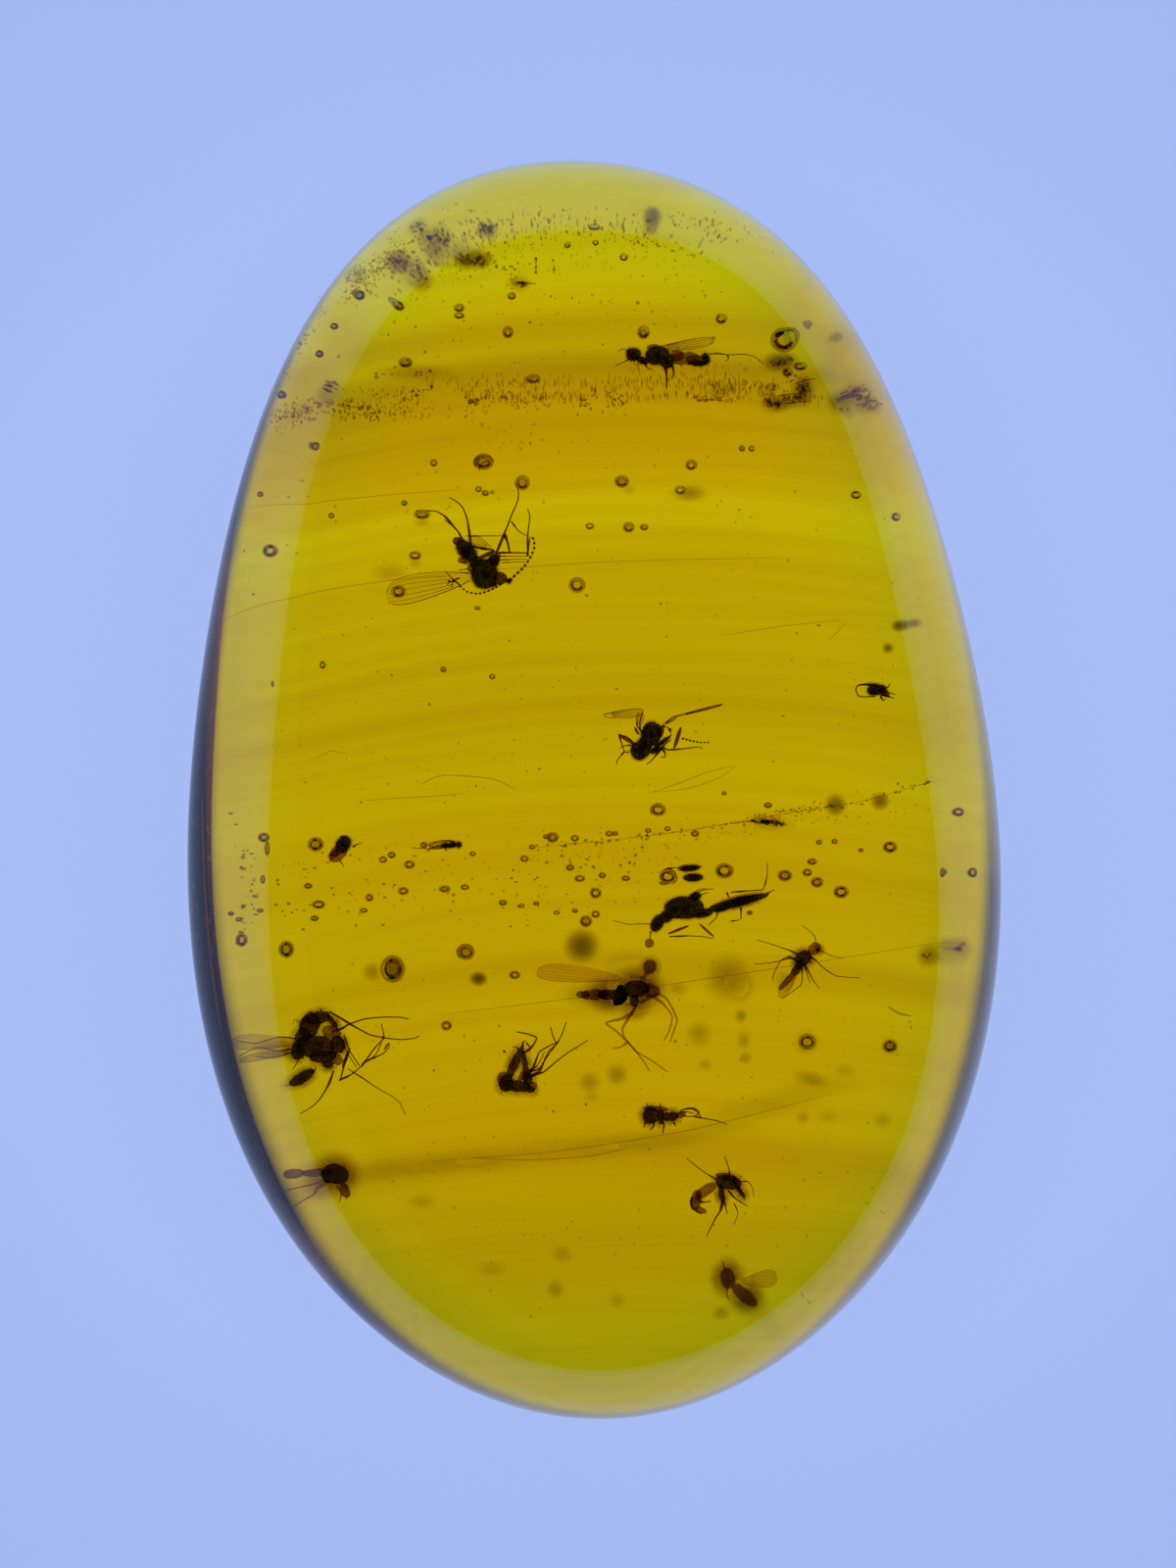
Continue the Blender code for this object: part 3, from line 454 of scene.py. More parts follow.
# dark and light colour, grain of the noise, roughness, share of the light that goes through, its tint
finishes = {
    "dark chitin": ((0.055, 0.04, 0.005), (0.1, 0.073, 0.012), 9000, 0.45, 0.3, (0.8, 0.74, 0.4)),
    "clouded chitin": ((0.06, 0.04, 0.008), (0.16, 0.11, 0.025), 9000, 0.5, 0.44, (0.75, 0.62, 0.3)),
    "thin chitin": ((0.06, 0.035, 0.008), (0.16, 0.09, 0.02), 9000, 0.5, 0.7, (0.8, 0.61, 0.25)),
    "red-brown chitin": ((0.08, 0.025, 0.006), (0.2, 0.06, 0.012), 12000, 0.45, 0.5, (0.8, 0.46, 0.15)),
    "brown leg chitin": ((0.05, 0.024, 0.005), (0.14, 0.07, 0.016), 15000, 0.4, 0.54, (0.62, 0.36, 0.1)),
    "wing skin": ((0.12, 0.08, 0.03), (0.3, 0.2, 0.08), 6000, 0.25, 0.975, (0.98, 0.95, 0.86)),
    "wing veins": ((0.05, 0.025, 0.008), (0.12, 0.06, 0.02), 15000, 0.4, 0.68, (0.75, 0.56, 0.3)),
    "clouded leg chitin": ((0.05, 0.03, 0.01), (0.12, 0.07, 0.02), 9000, 0.5, 0.87, (0.82, 0.66, 0.38)),
    "clouded wing skin": ((0.12, 0.08, 0.03), (0.3, 0.2, 0.08), 4000, 0.3, 0.965, (0.94, 0.88, 0.7)),
    "clouded wing veins": ((0.1, 0.06, 0.02), (0.2, 0.12, 0.04), 15000, 0.4, 0.88, (0.9, 0.8, 0.55)),
    # this finish serves the bold dust and also the bubbles' rings, which are painted shade
    "brown dirt and painted bubble shade": ((0.03, 0.02, 0.008), (0.14, 0.09, 0.04), 9000, 0.7, 0.8, (0.92, 0.82, 0.6)),
    "crumbly dirt": ((0.06, 0.045, 0.02), (0.16, 0.12, 0.05), 9000, 0.7, 0.86, (0.92, 0.86, 0.65)),
    "fine brown dirt and painted bubble shade": ((0.06, 0.04, 0.015), (0.16, 0.1, 0.04), 9000, 0.7, 0.91, (0.94, 0.87, 0.7)),
    "flow line": ((0.1, 0.06, 0.02), (0.2, 0.12, 0.04), 5000, 0.6, 0.92, (0.93, 0.85, 0.65)),
}
paints = {name: grainyMaterial(name, *values) for name, values in finishes.items()}

haze = {
    "density": 2400.0, "colour": (0.25, 0.12, 0.1), "fringeColour": (0.45, 0.25, 0.1),
    "spread": 1.5, "leastShare": 0.4, "around": 20,
    # the cloud round a body: how far it reaches, its density and how much slimmer the body in it is;
    # tight on a sharp insect, wide on a clouded one, thin round a crumb
    "fringes": [(0.04, 18000.0, 0.0), (0.09, 6000.0, 0.05), (0.22, 3000.0, 0.16), (0.12, 2000.0, 0.0),
                (0.26, 1400.0, 0.2)],
}
fringes = [hazeMaterial("fringe haze " + str(level), density, haze["fringeColour"])
           for level, (reach, density, slim) in enumerate(haze["fringes"])]


lumpShape = {
    "rows": 13, "grooveRows": 3, "around": 18, "bluntness": 0.8, "grooveDepth": 0.13, "grooveEdge": 12,
    # gain, then how many waves run round the lump and along it, and how far its number moves them
    "crossed": (0.05, 5, 4), "slanting": [(0.06, 3, -2, 1), (0.045, 0, 7, 3), (0.03, 8, 11, 3)],
}


def bodyLump(lump, number):
    # an oval along its length: a ring's reach is a power of the sine of its angle, less what the taper takes
    # toward the far end and a narrow pinch at each groove; slow waves along it and round it make it uneven
    x, y, length, width, height, turn, grooves, taper = (*lump, 0, 0)[:8]
    rows = lumpShape["rows"] + lumpShape["grooveRows"] * grooves
    u = np.linspace(0, math.pi, rows + 2)[1:-1, None]
    a = circle(lumpShape["around"])[None, :]
    share = (1 - np.cos(u)) / 2
    reach = np.sin(u)**lumpShape["bluntness"] * (1 - taper * share)
    if grooves:
        pinch = np.abs(np.cos(math.pi * grooves * share))**lumpShape["grooveEdge"]
        reach = reach * (1 - lumpShape["grooveDepth"] * pinch)
    gain, across, along = lumpShape["crossed"]
    bumps = 1 + gain * np.sin(across * a + number) * np.sin(along * u + 2 * number)
    for gain, across, along, shift in lumpShape["slanting"]:
        bumps = bumps + gain * np.sin(across * a + along * u + shift * number)
    rings = np.stack([-np.cos(u) * length / 2 + 0 * a, reach * bumps * np.cos(a) * width / 2,
                      reach * bumps * np.sin(a) * height / 2], -1)
    skin = ringSkin(rings, (-length / 2, 0, 0), (length / 2, 0, 0))
    return copies(skin, np.array([(x, y, 0.0)]), np.ones((1, 3)), np.array([math.radians(turn)]))


limbShape = {"perSpan": 6, "slim": 0.8, "thigh": 0.45, "thighEnd": 0.4}


def limb(widths, points, rise):
    # a tube along a soft path that rises evenly and narrows from the first width to the second; its thigh
    # swells by the squared sine of the way along it
    path = softPath(points, limbShape["perSpan"])
    s = np.linspace(0, 1, len(path))
    path = np.concatenate([path, (rise * s)[:, None]], 1)
    thick = widths[0] + (widths[1] - widths[0]) * s
    thigh = np.sin(math.pi * np.clip(s / limbShape["thighEnd"], 0, 1))**2
    return tube(path, thick * (limbShape["slim"] + limbShape["thigh"] * thigh))


feelerShape = {
    "perSpan": 12, "pitch": 1.75,                     # from bead to bead, in mean widths
    "fewest": 3, "bead": (0.58, 0.5, 0.5),            # a bead's half sizes, in widths
    "beadGrid": (5, 8), "thread": 0.2, "threadAround": 5,
}


def feeler(widths, points, rise):
    # ovals at even steps of length along a soft path, on a fine thread
    path = softPath(points, feelerShape["perSpan"])
    path = np.concatenate([path, np.linspace(0, rise, len(path))[:, None]], 1)
    length = np.concatenate([[0], np.cumsum(np.linalg.norm(np.diff(path, axis=0), axis=1))])
    count = max(feelerShape["fewest"], round(length[-1] / (feelerShape["pitch"] * sum(widths) / 2)))
    at = (np.arange(count) + 0.5) / count
    spots = np.stack([np.interp(at * length[-1], length, path[:, k]) for k in range(3)], -1)
    thick = (widths[0] + (widths[1] - widths[0]) * at)[:, None]
    turns = np.interp(at * length[-1], length, np.arctan2(*np.gradient(path, axis=0).T[1::-1]))
    beads = copies(oval(*feelerShape["beadGrid"]), spots, thick * feelerShape["bead"], turns)
    slim = np.full(len(path), feelerShape["thread"] * min(widths))
    return joined([beads, tube(path, slim, feelerShape["threadAround"])])


hair = {
    "length": 0.13, "lean": 0.15, "shortest": 0.7, "varies": 0.6,   # shares of the length, beside the first
    "root": 0.92, "foot": 0.008, "goldenAngle": 137.5, "step": 7,
    "corners": (0, 2.09, 4.19),                       # the three corners of its foot, in radians
    "aside": (0.3, 0.5, 0.8),                         # any slanting direction
}


def bristles(lumps, count):
    # slim pyramids standing off each lump, spread evenly over it by the golden angle
    if not count:
        return []
    sizes = np.array([lump[2] * lump[3] for lump in lumps])
    skins = []
    for lump, share in zip(lumps, sizes / sizes.sum()):
        number = int(count * share)
        if number < 2:
            continue
        k = np.arange(number) + 0.5
        z = 1 - 2 * k / number
        turn = k * math.radians(hair["goldenAngle"])
        way = np.stack([np.sqrt(1 - z**2) * np.cos(turn), np.sqrt(1 - z**2) * np.sin(turn), z], -1)
        c, s = math.cos(math.radians(lump[5])), math.sin(math.radians(lump[5]))
        spin = np.array([(c, s, 0), (-s, c, 0), (0, 0, 1)])
        root = (way * (np.array(lump[2:5]) / 2 * hair["root"])) @ spin + (lump[0], lump[1], 0)
        way = way @ spin
        side = np.cross(way, hair["aside"])
        side /= np.linalg.norm(side, axis=1, keepdims=True)
        other = np.cross(way, side)
        reach = hair["length"] * (hair["shortest"] + hair["varies"] * np.sin(hair["step"] * k)[:, None]**2)
        tip = root + way * reach + side * hair["length"] * hair["lean"]
        foot = [root + hair["foot"] * (math.cos(q) * side + math.sin(q) * other) for q in hair["corners"]]
        points = np.stack(foot + [tip], 1).reshape(-1, 3)
        faces = np.array([(0, 1, 3), (1, 2, 3), (2, 0, 3), (0, 2, 1)])
        faces = (faces[None] + 4 * np.arange(number)[:, None, None]).reshape(-1, 3)
        skins.append(outward((points, np.zeros((0, 4), int), faces)))
    return skins


wingShape = {
    "rows": (0.02, 0.985, 26), "around": 22, "thickness": 0.004, "tip": 0.6,
    "root": 0.55, "round": 5, "front": 0.62,          # powers of the breadth, and where the middle line lies
    "ripple": 0.012, "rippleStep": 9, "curl": 0.06,
    # each vein's place across the wing at its start and end, where along the wing it starts, and its width
    "veins": [(1.0, 1.0, 0.05, 0.026), (0.9, 0.82, 0.24, 0.016), (0.8, 0.62, 0.24, 0.016),
              (0.62, 0.42, 0.24, 0.014), (0.5, 0.2, 0.24, 0.014), (0.3, 0.08, 0.24, 0.014),
              (0.0, 0.0, 0.05, 0.016)],
    "veinEnd": 0.98, "veinRows": 22, "veinAround": 5, "veinTaper": (1.25, 0.6),
}


def wing(root, tip, width):
    # a thin rippled blade, with a tube along each edge and slim tubes fanning over it
    ahead = tip - root
    side = np.array([-ahead[1], ahead[0]]) / np.linalg.norm(ahead)

    def spot(s, across, z):
        # breadth grows from the root as a power of s and rounds off at the tip, which curls up as s squared
        breadth = width * s**wingShape["root"] * np.sqrt(1 - s**wingShape["round"])
        off = breadth * (across - wingShape["front"])
        flat = root + ahead * s[..., None] + side * off[..., None]
        ripple = wingShape["ripple"] * np.sin(wingShape["rippleStep"] * across) * s
        return np.concatenate([flat, (ripple + wingShape["curl"] * s**2 + z)[..., None]], -1)

    s = np.linspace(*wingShape["rows"])[:, None]
    a = circle(wingShape["around"])[None, :]
    across = (1 + np.cos(a)) / 2 + 0 * s
    rings = spot(s + 0 * a, across, wingShape["thickness"] * np.sin(a) + 0 * s)
    ends = [spot(np.array(at), np.array(wingShape["tip"]), np.array(0.0)) for at in (0.0, 1.0)]
    high, fall = wingShape["veinTaper"]
    veins = []
    for start, end, first, thick in wingShape["veins"]:
        s = np.linspace(first, wingShape["veinEnd"], wingShape["veinRows"])
        line = spot(s, start + (end - start) * s, 0 * s)
        veins.append(tube(line, thick * (high - fall * s), wingShape["veinAround"]))
    return ringSkin(rings, *ends), joined(veins)


grainShape = {"grid": (3, 6), "fewest": 4, "inward": 0.45, "size": (0.02, 0.055), "stretch": (0.7, 1.5)}


def grains(lumps, crowd, number):
    # a crumb of dirt: small ovals strewn in each lump's oval, as many as its area times the crowd
    dice = np.random.default_rng(number)
    skins = []
    for lump in lumps:
        x, y, length, width, height, turn = lump[:6]
        count = int(grainShape["fewest"] + crowd * length * width)
        way = dice.normal(0, 1, (count, 3))
        way *= (dice.random(count)**grainShape["inward"] / np.linalg.norm(way, axis=1))[:, None]
        way *= (length / 2, width / 2, height / 2)
        c, s = math.cos(math.radians(turn)), math.sin(math.radians(turn))
        spots = np.stack([x + way[:, 0] * c - way[:, 1] * s, y + way[:, 0] * s + way[:, 1] * c,
                          way[:, 2]], -1)
        size = dice.uniform(*grainShape["size"], (count, 1))
        size = size * dice.uniform(*grainShape["stretch"], (count, 3))
        skins.append(copies(oval(*grainShape["grid"]), spots, size, dice.uniform(0, math.pi, count)))
    return joined(skins)


def cloudOf(lumps, reach):
    # a soft lens round each lump, lying the reach above it and half as much again round it
    box = np.array([lump[:6] for lump in lumps])
    places = np.stack([box[:, 0], box[:, 1], 0 * box[:, 0]], -1)
    sizes = box[:, 2:5] / 2 + (haze["spread"] * reach, haze["spread"] * reach, reach)
    return copies(softLens(haze["around"]), places, sizes, np.radians(box[:, 5]))


def slimmer(lump, slim):
    # the same lump, less long, wide and high, but never less than a share of each
    return (*lump[:2], *(max(haze["leastShare"] * size, size - slim) for size in lump[2:5]), *lump[5:])


def lumpsOf(lumps):
    # body lumps as one skin, each numbered so that its bumps differ
    return joined([bodyLump(lump, number) for number, lump in enumerate(lumps)])


insectShape = {
    "clearStout": 0.92, "blurredStout": 1.25, "limbDrop": 0.12, "feelerRise": 0.06, "crumbFringe": 3,
    "seed": 5,
}


def putInsect(plan):
    # the whole animal as one piece: body, fringe, bristles, legs, feelers and wings, set in the layer at its
    # place; the legs drop and rise by turns
    name = plan["node"]
    crowd = plan.get("crowd")
    blur = insectShape["crumbFringe"] if crowd else plan.get("blur", 0)
    clouded = "clouded " if blur else ""
    lumps = rowsOf(plan, "lumps")
    reach, slim = haze["fringes"][blur][::2]
    layers = [(cloudOf(lumps or rowsOf(plan, "pale"), reach), fringes[blur])]
    if crowd:
        layers.append((grains(lumps, crowd, insectShape["seed"] + len(name)), paints["crumbly dirt"]))
    elif lumps:
        dark = lumpsOf([slimmer(lump, slim) for lump in lumps])
        skin = joined([dark] + bristles(lumps, plan.get("hairs", 0)))
        layers.append((skin, paints["clouded chitin" if blur else "dark chitin"]))
    for key, finish in (("pale", "thin chitin"), ("red", "red-brown chitin")):
        if key in plan:
            layers.append((lumpsOf(rowsOf(plan, key)), paints[finish]))
    stout = insectShape["blurredStout" if blur > 1 else "clearStout"]
    thin = [limb((a * stout, b * stout), points, insectShape["limbDrop"] * (1 if number % 2 else -1))
            for number, (a, b, points) in enumerate(rowsOf(plan, "legs"))]
    thin += [feeler((a, b), points, insectShape["feelerRise"]) for a, b, points in rowsOf(plan, "feelers")]
    if thin:
        layers.append((joined(thin), paints["clouded leg chitin" if blur > 1 else "brown leg chitin"]))
    if "wings" in plan:
        blades, veins = zip(*(wing(*row) for row in rowsOf(plan, "wings")))
        layers.append((joined(blades), paints[clouded + "wing skin"]))
        layers.append((joined(veins), paints[clouded + "wing veins"]))
    move = inLayer(np.array([plan["place"]]), plan.get("lift", 0))
    layers = [((skin[0] + move, skin[1], skin[2]), material) for skin, material in layers]
    putPiece(name + "_detail", layers, [name])


# An animal's place is in millimetres; its rows start from there, with lengths in hundredths of a millimetre
# and turns in degrees. Lumps, and pale and red ones: middle, length, width, height, turn, then grooves and
# taper where there are any. Legs and feelers: width at the root and at the end, then the path. Wings: root,
# tip and breadth. The blur picks a clouded insect's fringe; the crowd is the grains in a square millimetre
# of a crumb.
largeMidge = {
    "node": "large_midge", "place": (-2.83, 5.46), "lift": 0.1, "hairs": 110,
    "lumps": [(10, -17, 75, 63, 58, 80), (27, 10, 49, 32, 34, 62, 0, 0.2),
        (-34, 41, 63, 41, 39, -45, 4, 0.2), (-10, 10, 36, 32, 32, -50), (29, -41, 19, 17, 17, 0),
        (69, -35, 11, 11, 11, 0)],
    "pale": [(43, -28, 44, 34, 27, -4), (47, -29, 34, 30, 22, -4), (-39, 19, 36, 19, 15, 10),
        (36, 15, 49, 19, 19, 68), (-22, -5, 24, 19, 15, -30)],
    "red": [(-56, 64, 27, 21, 19, -40), (15, 33, 41, 8, 10, 24)],
    "legs": [
        (7.3, 3.6, [(-24, 41), (-27, 78), (-34, 121), (-44, 148), (-58, 163), (-78, 175)]),
        (7.3, 3.4, [(-39, 49), (-53, 85), (-70, 104), (-90, 119)]),
        (6.3, 3.2, [(-61, 95), (-87, 126), (-107, 139), (-131, 142), (-160, 142)]),
        (7.8, 3.4, [(34, 24), (44, 49), (56, 80), (66, 104), (75, 129), (90, 165), (92, 190), (83, 211)]),
        (9.2, 6.3, [(58, 83), (66, 61), (72, 34)]),
        (4.9, 2.9, [(75, 114), (91, 92), (111, 78)]),
        (6.3, 4.9, [(44, 36), (78, 36), (114, 35)]),
        (6.3, 3.2, [(116, 27), (115, 78), (120, 126), (115, 146)]),
        (5.8, 3.4, [(114, 27), (121, 75)]),
        (6.8, 5.3, [(-22, 53), (5, 46), (27, 44), (35, 38), (23, 32), (2, 21)]),
        (3.4, 2.4, [(41, 27), (78, 27), (117, 27)]),
        (3.4, 2.4, [(44, 18), (83, 19), (114, 19)]),
        (2.9, 2.4, [(51, 11), (83, 12), (109, 12)]),
        (5.3, 2.9, [(-12, -10), (-34, -5), (-53, -7)]),
        (5.3, 2.9, [(-12, 7), (-34, 7), (-49, 15)]),
        (4.9, 2.7, [(-5, -24), (-29, -15), (-49, -12)]),
        (4.9, 2.7, [(-12, 17), (-36, 12), (-51, 22)]),
        (3.6, 2.7, [(-36, 78), (17, 78), (61, 78)]),
        (5.3, 3.4, [(-51, -27), (-66, -32), (-83, -43)]),
        (4.9, 2.7, [(-51, -44), (-66, -32), (-78, -19), (-86, -9)]),
        (4.9, 3.4, [(-66, -29), (-71, -49)]),
        (4.9, 3.4, [(-80, -34), (-63, -36)])],
    "feelers": [
        (8.3, 6.3, [(69, -35), (75, -31), (83, -22), (104, -2), (121, 22), (131, 46), (131, 63), (126, 77)]),
        (7.3, 5.3, [(53, -41), (27, -56), (6, -64), (-11, -66), (-33, -61), (-54, -45)])],
    "wings": [((-17, -24), (-233, -78), 92), ((27, 43), (-27, 72), 32)]}
wasp = {
    "node": "wasp", "place": (1.3, 1.15), "lift": -0.1, "hairs": 26,
    "lumps": [(6, 15, 61, 44, 46, 88), (-6, 12, 53, 27, 34, 80), (19, 17, 46, 22, 29, 84),
        (-19, -24, 56, 44, 44, 60, 3), (-10, -12, 39, 39, 39, 60), (28, -10, 63, 11, 15, 38, 0, 0.15),
        (17, -26, 32, 12, 17, 22)],
    "red": [(70, 5, 56, 10, 10, 72), (-56, 2, 44, 9, 10, -34), (-30, 22, 22, 7, 10, -62),
        (32, 22, 32, 10, 17, 80), (51, 25, 9, 9, 9, 0), (-39, -19, 29, 10, 19, 70)],
    "legs": [
        (6.3, 3.4, [(-73, 13), (-67, -7), (-60, -29)]),
        (5.8, 2.9, [(-39, -7), (-53, 7), (-73, 13)]),
        (5.3, 2.9, [(-60, -29), (-68, -39), (-77, -51), (-79, -61)]),
        (4.9, 2.9, [(-39, -13), (-62, -15), (-70, -21)]),
        (4.9, 3.9, [(-17, 17), (-27, 32), (-32, 41)]),
        (4.4, 2.9, [(-22, 22), (-22, 46), (-15, 70)]),
        (5.8, 3.4, [(32, -22), (40, -33), (38, -43), (29, -44)]),
        (6.8, 3.2, [(32, -19), (17, -39), (5, -53), (-5, -61)]),
        (5.3, 2.9, [(46, -25), (68, -24), (98, -21), (121, -18), (132, -23)]),
        (6.3, 4.9, [(32, -17), (46, -25), (63, -24)]),
        (6.3, 3.9, [(27, -27), (36, -15), (53, 0)]),
        (3.9, 2.9, [(-58, -29), (-51, -32), (-49, -27)])],
    "feelers": [
        (5.3, 4.4, [(27, 34), (41, 33), (49, 28), (52, 22)]),
        (4.4, 3.9, [(52, 22), (54, 12), (46, 6)]),
        (6.3, 4.6, [(79, 4), (94, 0), (109, -4), (128, -7), (149, -7)])],
    "wings": [((-27, 29), (-22, 68), 24), ((-115, 60), (-12, 72), 29), ((33, 36), (68, 60), 12),
        ((61, 57), (182, 89), 8)]}
longBodiedFly = {
    "node": "long_bodied_fly", "place": (1.82, 10.69), "hairs": 60,
    "lumps": [(-29, 7, 61, 46, 44, 0), (-89, 10, 36, 32, 29, 0), (-98, 17, 17, 15, 15, 30),
        (-66, -5, 32, 17, 19, -15), (-7, -7, 34, 36, 29, 0), (89, -1, 19, 29, 22, 10),
        (70, -12, 44, 13, 12, -3)],
    "pale": [(39, 0, 73, 34, 29, 0, 4), (68, -4, 58, 27, 27, -4, 5), (-41, 29, 29, 15, 17, 8),
        (19, 7, 34, 29, 24, 0)],
    "legs": [
        (9.7, 4.9, [(-10, -19), (-7, -44), (-7, -75)]),
        (4.4, 2.9, [(-97, 0), (-114, -10), (-134, -19)]),
        (3.9, 2.7, [(97, 12), (121, 13), (148, 10), (182, 12), (209, 6), (232, -12)]),
        (5.8, 3.9, [(7, -15), (10, -39), (5, -51)]),
        (4.9, 3.4, [(-63, -12), (-51, -27), (-44, -24)]),
        (4.4, 2.9, [(143, 10), (146, 0), (139, -5)])],
    "feelers": [(4.4, 3.4, [(-102, 19), (-117, 24), (-126, 17)])],
    "wings": [((-44, 22), (112, 49), 34)]}
beetleFragment = {
    "node": "beetle_fragment", "place": (6.86, 2.34),
    "lumps": [(-2, 4, 32, 24, 22, -6), (2, 17, 53, 7, 12, -5), (17, 5, 34, 19, 19, -20, 2, 0.3)],
    "red": [(17, -1, 46, 22, 19, -18, 4, 0.5), (29, -10, 29, 7, 10, -15, 0, 0.4)],
    "legs": [
        (7.3, 2.9, [(19, 10), (34, 12), (39, 22)]),
        (7.3, 2.9, [(24, -7), (36, -11), (51, -15)]),
        (6.1, 2.9, [(24, 2), (39, -2), (53, -6)]),
        (6.1, 2.9, [(15, -10), (22, -21), (29, -17)]),
        (4.9, 4.4, [(5, 18), (-24, 19), (-41, 16), (-46, 5), (-40, -9), (-27, -12), (2, -11)])]}
roundFly = {
    "node": "round_fly", "place": (-6.26, -1.57), "hairs": 30,
    "lumps": [(5, 11, 44, 34, 34, 52)],
    "pale": [(-7, -13, 51, 34, 24, 34, 3, 0.1), (-17, -7, 29, 19, 19, 50)],
    "legs": [
        (5.8, 2.9, [(29, 5), (39, 11), (51, 15)]),
        (3.9, 2.9, [(-2, 30), (6, 33), (15, 32)]),
        (3.9, 2.4, [(-5, -27), (2, -36), (7, -46)]),
        (3.4, 2.4, [(-22, -22), (-29, -32), (-39, -34)])],
    "wings": [((2, -5), (-32, -24), 22)]}
slenderMidge = {
    "node": "slender_midge", "place": (-3.73, -1.47), "hairs": 8,
    "lumps": [(23, 1, 17, 15, 15, 0), (36, 1, 15, 14, 15, 0), (12, -1, 34, 12, 12, 5)],
    "pale": [(-10, -5, 58, 7, 10, 9, 6, 0.3)],
    "legs": [
        (3.9, 2.4, [(17, 0), (-10, -9), (-34, -10), (-78, -7)]),
        (4.4, 3.4, [(2, -5), (7, -15)]),
        (3.6, 2.9, [(27, 9), (12, 11), (-5, 11), (-22, 5), (-36, -4)]),
        (3.9, 3.2, [(22, 2), (-7, -1), (-34, -7)])],
    "wings": [((22, 6), (-39, -1), 17)]}
roveBeetle = {
    "node": "rove_beetle", "place": (2.61, -3.04), "hairs": 50,
    "lumps": [(-41, 2, 92, 56, 49, -4), (-66, 0, 53, 49, 44, 15), (-85, -17, 49, 29, 32, 38),
        (-109, -36, 46, 28, 29, 62), (-2, -12, 58, 22, 24, 8), (90, 16, 151, 28, 27, 14, 7, 0.35),
        (-19, 27, 34, 22, 22, 25), (49, 2, 49, 19, 22, 16)],
    "pale": [(-129, -86, 23, 23, 23, 0), (117, -11, 15, 12, 10, 0)],
    "red": [(7, -7, 34, 12, 15, 12), (-58, -53, 56, 7, 7, 21), (11, -54, 51, 6, 7, -42)],
    "legs": [
        (5.8, 2.4, [(-24, 29), (-2, 44), (29, 49)]),
        (5.3, 2.4, [(-17, 27), (2, 36), (17, 40)]),
        (4.4, 2.4, [(-29, 29), (-10, 46), (10, 50)]),
        (4.4, 3.6, [(-125, -56), (-128, -75)]),
        (4.4, 2.7, [(-80, -70), (-34, -68), (0, -70), (28, -75)]),
        (4.9, 3.4, [(71, 40), (109, 43), (147, 46), (153, 53)]),
        (6.3, 4.9, [(61, 39), (66, 27)]),
        (5.8, 3.9, [(96, 2), (96, -27)]),
        (4.4, 2.9, [(71, -32), (93, -29)]),
        (4.4, 3.4, [(39, -10), (34, -24), (17, -41)]),
        (3.9, 2.7, [(153, 53), (160, 83), (160, 112)]),
        (5.8, 2.9, [(158, 35), (168, 41), (177, 46)])],
    "feelers": [(4.4, 2.9, [(-124, -39), (-153, -38), (-182, -39), (-219, -29)])]}
spreadMidge = {
    "node": "spread_midge", "place": (0.93, -5.06), "lift": -0.2, "hairs": 60, "blur": 2,
    "lumps": [(7, 2, 83, 58, 58, 0), (2, -27, 39, 49, 36, 0), (-56, -12, 83, 44, 36, 2, 0, 0.1)],
    "pale": [(40, 57, 33, 35, 32, 0), (-95, -12, 68, 29, 27, 2, 3, 0.1), (-124, -12, 34, 19, 19, 0, 2),
        (41, -2, 49, 34, 29, -10)],
    "legs": [
        (9.7, 8.3, [(19, 22), (29, 36), (39, 49)]),
        (7.8, 3.4, [(17, -32), (44, -17), (63, -10), (85, -27), (107, -73), (100, -100), (90, -129)]),
        (7.8, 3.4, [(7, -41), (-5, -61), (-32, -73), (-68, -83), (-41, -104), (-5, -141), (24, -177),
                    (39, -202)]),
        (6.3, 3.2, [(2, -46), (-12, -70), (-27, -97), (-22, -119), (7, -153), (46, -177), (83, -204)]),
        (4.9, 2.9, [(-12, -129), (-32, -143), (-51, -146)]),
        (5.8, 3.2, [(36, -12), (70, -32), (95, -66), (87, -104), (75, -126)])],
    "wings": [((-27, 27), (-241, 41), 58)]}
longLeggedMidge = {
    "node": "long_legged_midge", "place": (5.08, -4.34), "lift": -0.1, "hairs": 40, "blur": 1,
    "lumps": [(2, 5, 49, 41, 41, 25), (-7, -10, 27, 27, 24, 45), (39, 26, 15, 15, 15, 0)],
    "pale": [(30, 29, 34, 29, 27, 38), (-33, -46, 75, 17, 17, 47, 5, 0.1), (-15, -24, 29, 22, 22, 55)],
    "legs": [
        (4.9, 2.4, [(-7, 12), (-29, 24), (-44, 29), (-66, 37), (-112, 51)]),
        (4.9, 2.4, [(-15, -2), (-33, 10), (-54, -1), (-70, -33), (-73, -49)]),
        (4.4, 2.4, [(-17, 5), (-34, 5), (-58, -2), (-83, -6), (-119, -9)]),
        (4.9, 2.4, [(10, 5), (27, 5), (53, -19), (85, -39), (143, -44)]),
        (4.4, 2.4, [(-2, -7), (0, -29), (-3, -61), (-44, -92)]),
        (4.4, 2.4, [(5, -7), (27, -49), (43, -70)]),
        (3.9, 2.4, [(5, -12), (12, -34), (19, -56)]),
        (3.4, 2.4, [(-15, -12), (-29, -32), (-44, -49)])],
    "feelers": [
        (4.1, 2.7, [(33, 42), (31, 58), (16, 75), (-3, 88)]),
        (4.1, 2.7, [(45, 24), (75, 10), (102, 5)])],
    "wings": [((-7, -17), (-53, -95), 32)]}
